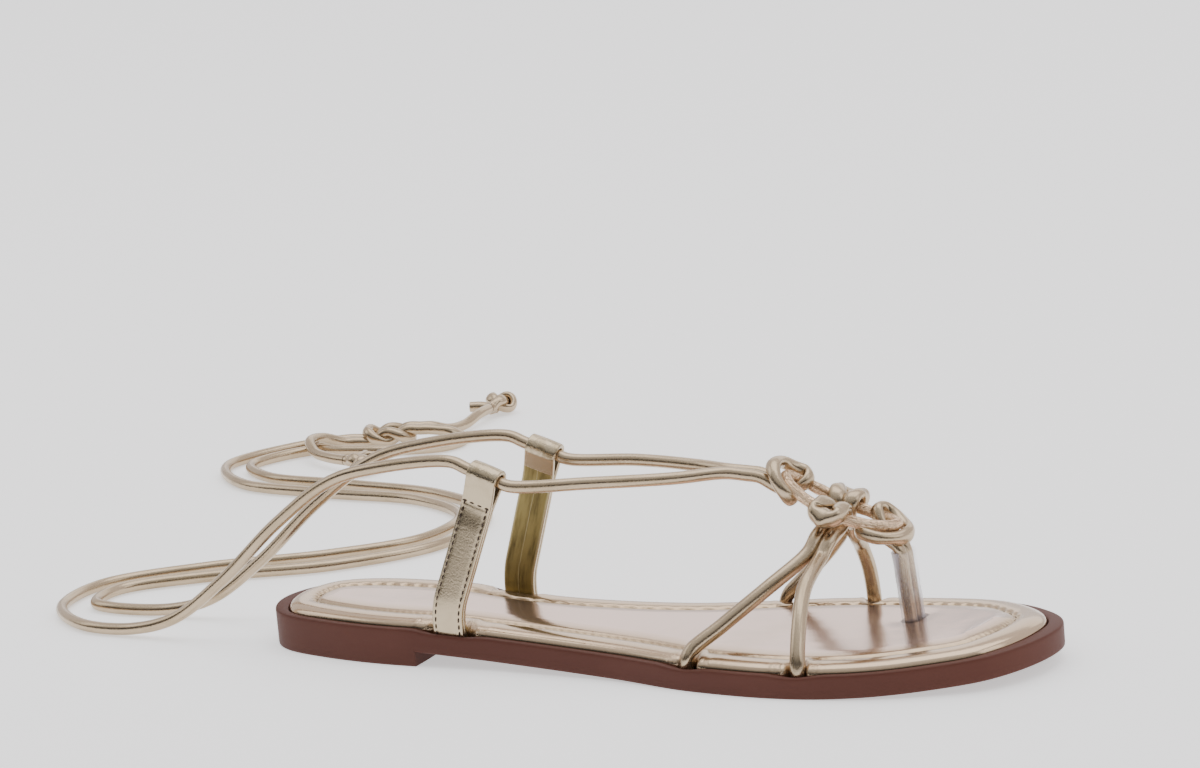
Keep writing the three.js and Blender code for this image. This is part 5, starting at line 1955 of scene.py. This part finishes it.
@dataclass
class Ties:
    """The two free ties: over the heel, in a loose zigzag on the floor, tied once, knotted at the ends."""

    tabs: dict[Side, AnkleTab]
    finishes: Finishes
    cord: float = TIE_CORD
    clear: float = 0.3
    knot_heading: float = 22
    step: float = 0.8

    def __post_init__(self) -> None:
        """Sets the routes, in the part's own points: fall, floor line, knot and tails."""
        self.on_floor = self.cord / 2 + 0.2
        f = self.on_floor
        self.knot_middle = vec(-90, 227, f + 0.45 * self.cord)
        self.fall_rows = (
            (48, 1, 58), (30, 2, 53), (9, 3, 39), (-13, 3.5, 20), (-32, 4, 7), (-48, 4.5, f + 0.6)
        )  # fmt: skip
        self.lie = np.array(
            [
                (-68, -10, 14), (-88, 8, 11), (-89, 34, 10), (-64, 58, 12), (-30, 78, 14),
                (-8, 100, 11), (-8, 128, 9), (-34, 147, 9), (-74, 152, 12), (-112, 160, 11),
                (-132, 184, 9), (-121, 211, 10),
            ],
            float,
        )  # fmt: skip
        self.round_knot = ((-98, 209, f), (-78, 212, f), (-63, 219, f), (-61, 230, f), (-69, 234, f + 1.6))
        self.tail_rows = {
            Side.LATERAL: (
                (-109, 212, f + 3.6), (-109, 203, f + 4.6), (-103, 196, f + 2.4), (-94, 191, f + 2),
                (-86, 188, f + 2.1),
            ),
            Side.MEDIAL: ((-73, 240, f + 1), (-71, 249, f + 0.4), (-70, 258, f + 2), (-70, 266, f + 2.1)),
        }  # fmt: skip

    def fall(self, side: Side) -> list[Points]:
        """From inside the tab's loop over the back of the heel to the floor."""
        tab = self.tabs[side]
        start = [tab.place(a, 0, tab.loop_height) for a in (0, -6.8, -12.5)]
        y = start[-1][1]
        return [*start, *[vec(x, y - side.value * inside, z) for x, inside, z in self.fall_rows]]

    def floor_line(self, share: float) -> list[Points]:
        """The line on the floor, set aside by a share of what keeps the two ties apart."""
        along = units(across_neighbours(self.lie[:, :2]))
        return [
            vec(x + t[1] * apart * share, y - t[0] * apart * share, self.on_floor)
            for (x, y, apart), t in zip(self.lie, along)
        ]

    def bight(self, way: int) -> list[Points]:
        """One half of the reef knot; the second half is the first turned half round."""
        rows = (
            (-3, 0.62, -0.4), (-1.7, 0.6, -0.45), (0, 0.95, 0.45), (1.3, 1.25, 0.05),
            (1.95, 0.7, -0.45), (2.1, 0, -0.45),
        )  # fmt: skip
        first = [(a * way, c, u * way) for a, c, u in rows]
        second = [(a * way, -c, u * way) for a, c, u in rows[:-1]][::-1]
        points = turned(np.array([*first, *second]) * self.cord, self.knot_heading)
        return list(points + self.knot_middle)

    def out_of(self, end: Points, before: Points) -> list[Points]:
        """A point straight out of a knot's end, a cord's width on."""
        return [end + unit(end - before) * self.cord]

    def route(self, side: Side) -> Points:
        """The whole free tie, from its loop to its end knot."""
        if side is Side.LATERAL:
            bight = self.bight(1)
            lead = self.floor_line(0)
        else:
            bight = self.bight(-1)[::-1]
            lead = [*self.floor_line(1)[1:], *[vec(*p) for p in self.round_knot]]
        way_in = self.out_of(bight[0], bight[1])
        way_out = self.out_of(bight[-1], bight[-2])
        tail = [vec(*p) for p in self.tail_rows[side]]
        return np.array([*self.fall(side), *lead, *way_in, *bight, *way_out, *tail])

    def end_knot(self, side: Side, placing: Placing) -> Object:
        """The overhand knot at a tie's end, with its cut end showing."""
        wide, high, steps = 0.42, 0.53, 18
        tail = [vec(*p) for p in self.tail_rows[side]][-2:]
        way = tail[1] - tail[0]
        heading = math.degrees(math.atan2(way[1], way[0]))
        points = [vec(0, -5.6, 0), vec(0, -4.4, 0)]
        for i in range(steps + 1):
            t = math.pi + 0.22 + i / steps * (2 * math.pi - 0.44)
            across, along = math.sin(t) + 2 * math.sin(2 * t), math.cos(t) - 2 * math.cos(2 * t)
            points.append(vec(across, along, -math.sin(3 * t) * high / wide))
        points += [vec(-2.6, -4, 0), vec(-5.2, -5, 0.1)]
        knot = turned((np.array(points) + vec(0, 5.6, 0)) * wide * self.cord, heading - 90)
        path = Smooth(knot + tail[1] + unit(way) * self.clear).walk(0.4)
        shell = Shell()
        Tube(path, ends=(End.HIDDEN, End.CUT)).add_to(shell)
        foils = [self.finishes.tie, self.finishes.core]
        piece = shell.build(f"tie_end_{side.label}", placing, foils)
        return enter(piece, Slot.CORD, f"end_knot_{side.label}")

    def build(self, placing: Placing) -> None:
        """Makes both ties as cords with their end knots."""
        nodes = {
            Side.LATERAL: ("tie_run_lateral", "tie_knot", "tie_tail_lateral"),
            Side.MEDIAL: ("tie_run_medial", "tie_tail_medial"),
        }
        for side in Side:
            path = Smooth(self.route(side)).walk(self.step)
            shell = Shell()
            Tube(path, sides=18).add_to(shell)
            name = f"tie_{side.label}"
            piece = enter(shell.build(name, placing, [self.finishes.tie]), Slot.CORD, *nodes[side])
            self.cord * MM
            self.end_knot(side, placing)


# ---------------------------------------------------------------------------------------------


def footbed_stitches(form: SoleForm, bed: Footbed, finishes: Finishes, placing: Placing) -> None:
    """Lays the thread that shows in the footbed's channel."""
    points, out, _ = form.contour(160)
    inset = form.shelf(out) + form.clear + bed.band * bed.channel
    place = points - out * inset[:, None]
    z = form.seat(points[:, 0]) + form.clear + bed.thickness * 0.70 - 0.12
    line = np.column_stack([place, z])
    rows = StitchRows(pitch=bed.pucker, length=3.3, radius=0.3, wander=0.05, seed=3)
    piece = rows.build("footbed_stitches", [np.vstack([line, line[:1]])], placing, finishes.beige_cloud_and_channel_shade_thread)
    enter(piece, Slot.FOOTBED)


def main() -> None:
    """Builds the studio and the sandal in order."""
    logging.basicConfig(level=logging.INFO, format="%(name)s: %(message)s")
    form = SoleForm()
    placing = form.placing()
    Studio(placing).build()
    upper = Upper(form, InstepRing())
    foot, top = (placing.to_row(point) for point in upper.post_line())
    radius = upper.sleeve_inner + upper.sleeve_wall
    finishes = Finishes(
        FootbedFoil(tuple(foot[:2]), upper.post_hitch.half_fibre_gap_shade * MM, radius * MM).material(),
        ClearSleeve(tuple((foot + top)[:2] / 2)).material(),
    )
    leans = {Side.LATERAL: 7, Side.MEDIAL: -3}
    tabs = {side: AnkleTab(form, finishes, side, TAB_STATIONS[side], lean) for side, lean in leans.items()}
    Ties(tabs, finishes).build(placing)
    Outsole(form, finishes).build(placing)
    bed = Footbed(form, finishes)
    bed.build(placing)
    footbed_stitches(form, bed, finishes, placing)
    upper.build(placing, finishes, {side: tab.span(upper.tie) for side, tab in tabs.items()})
    for tab in tabs.values():
        tab.build(placing)


if __name__ == "__main__":
    main()
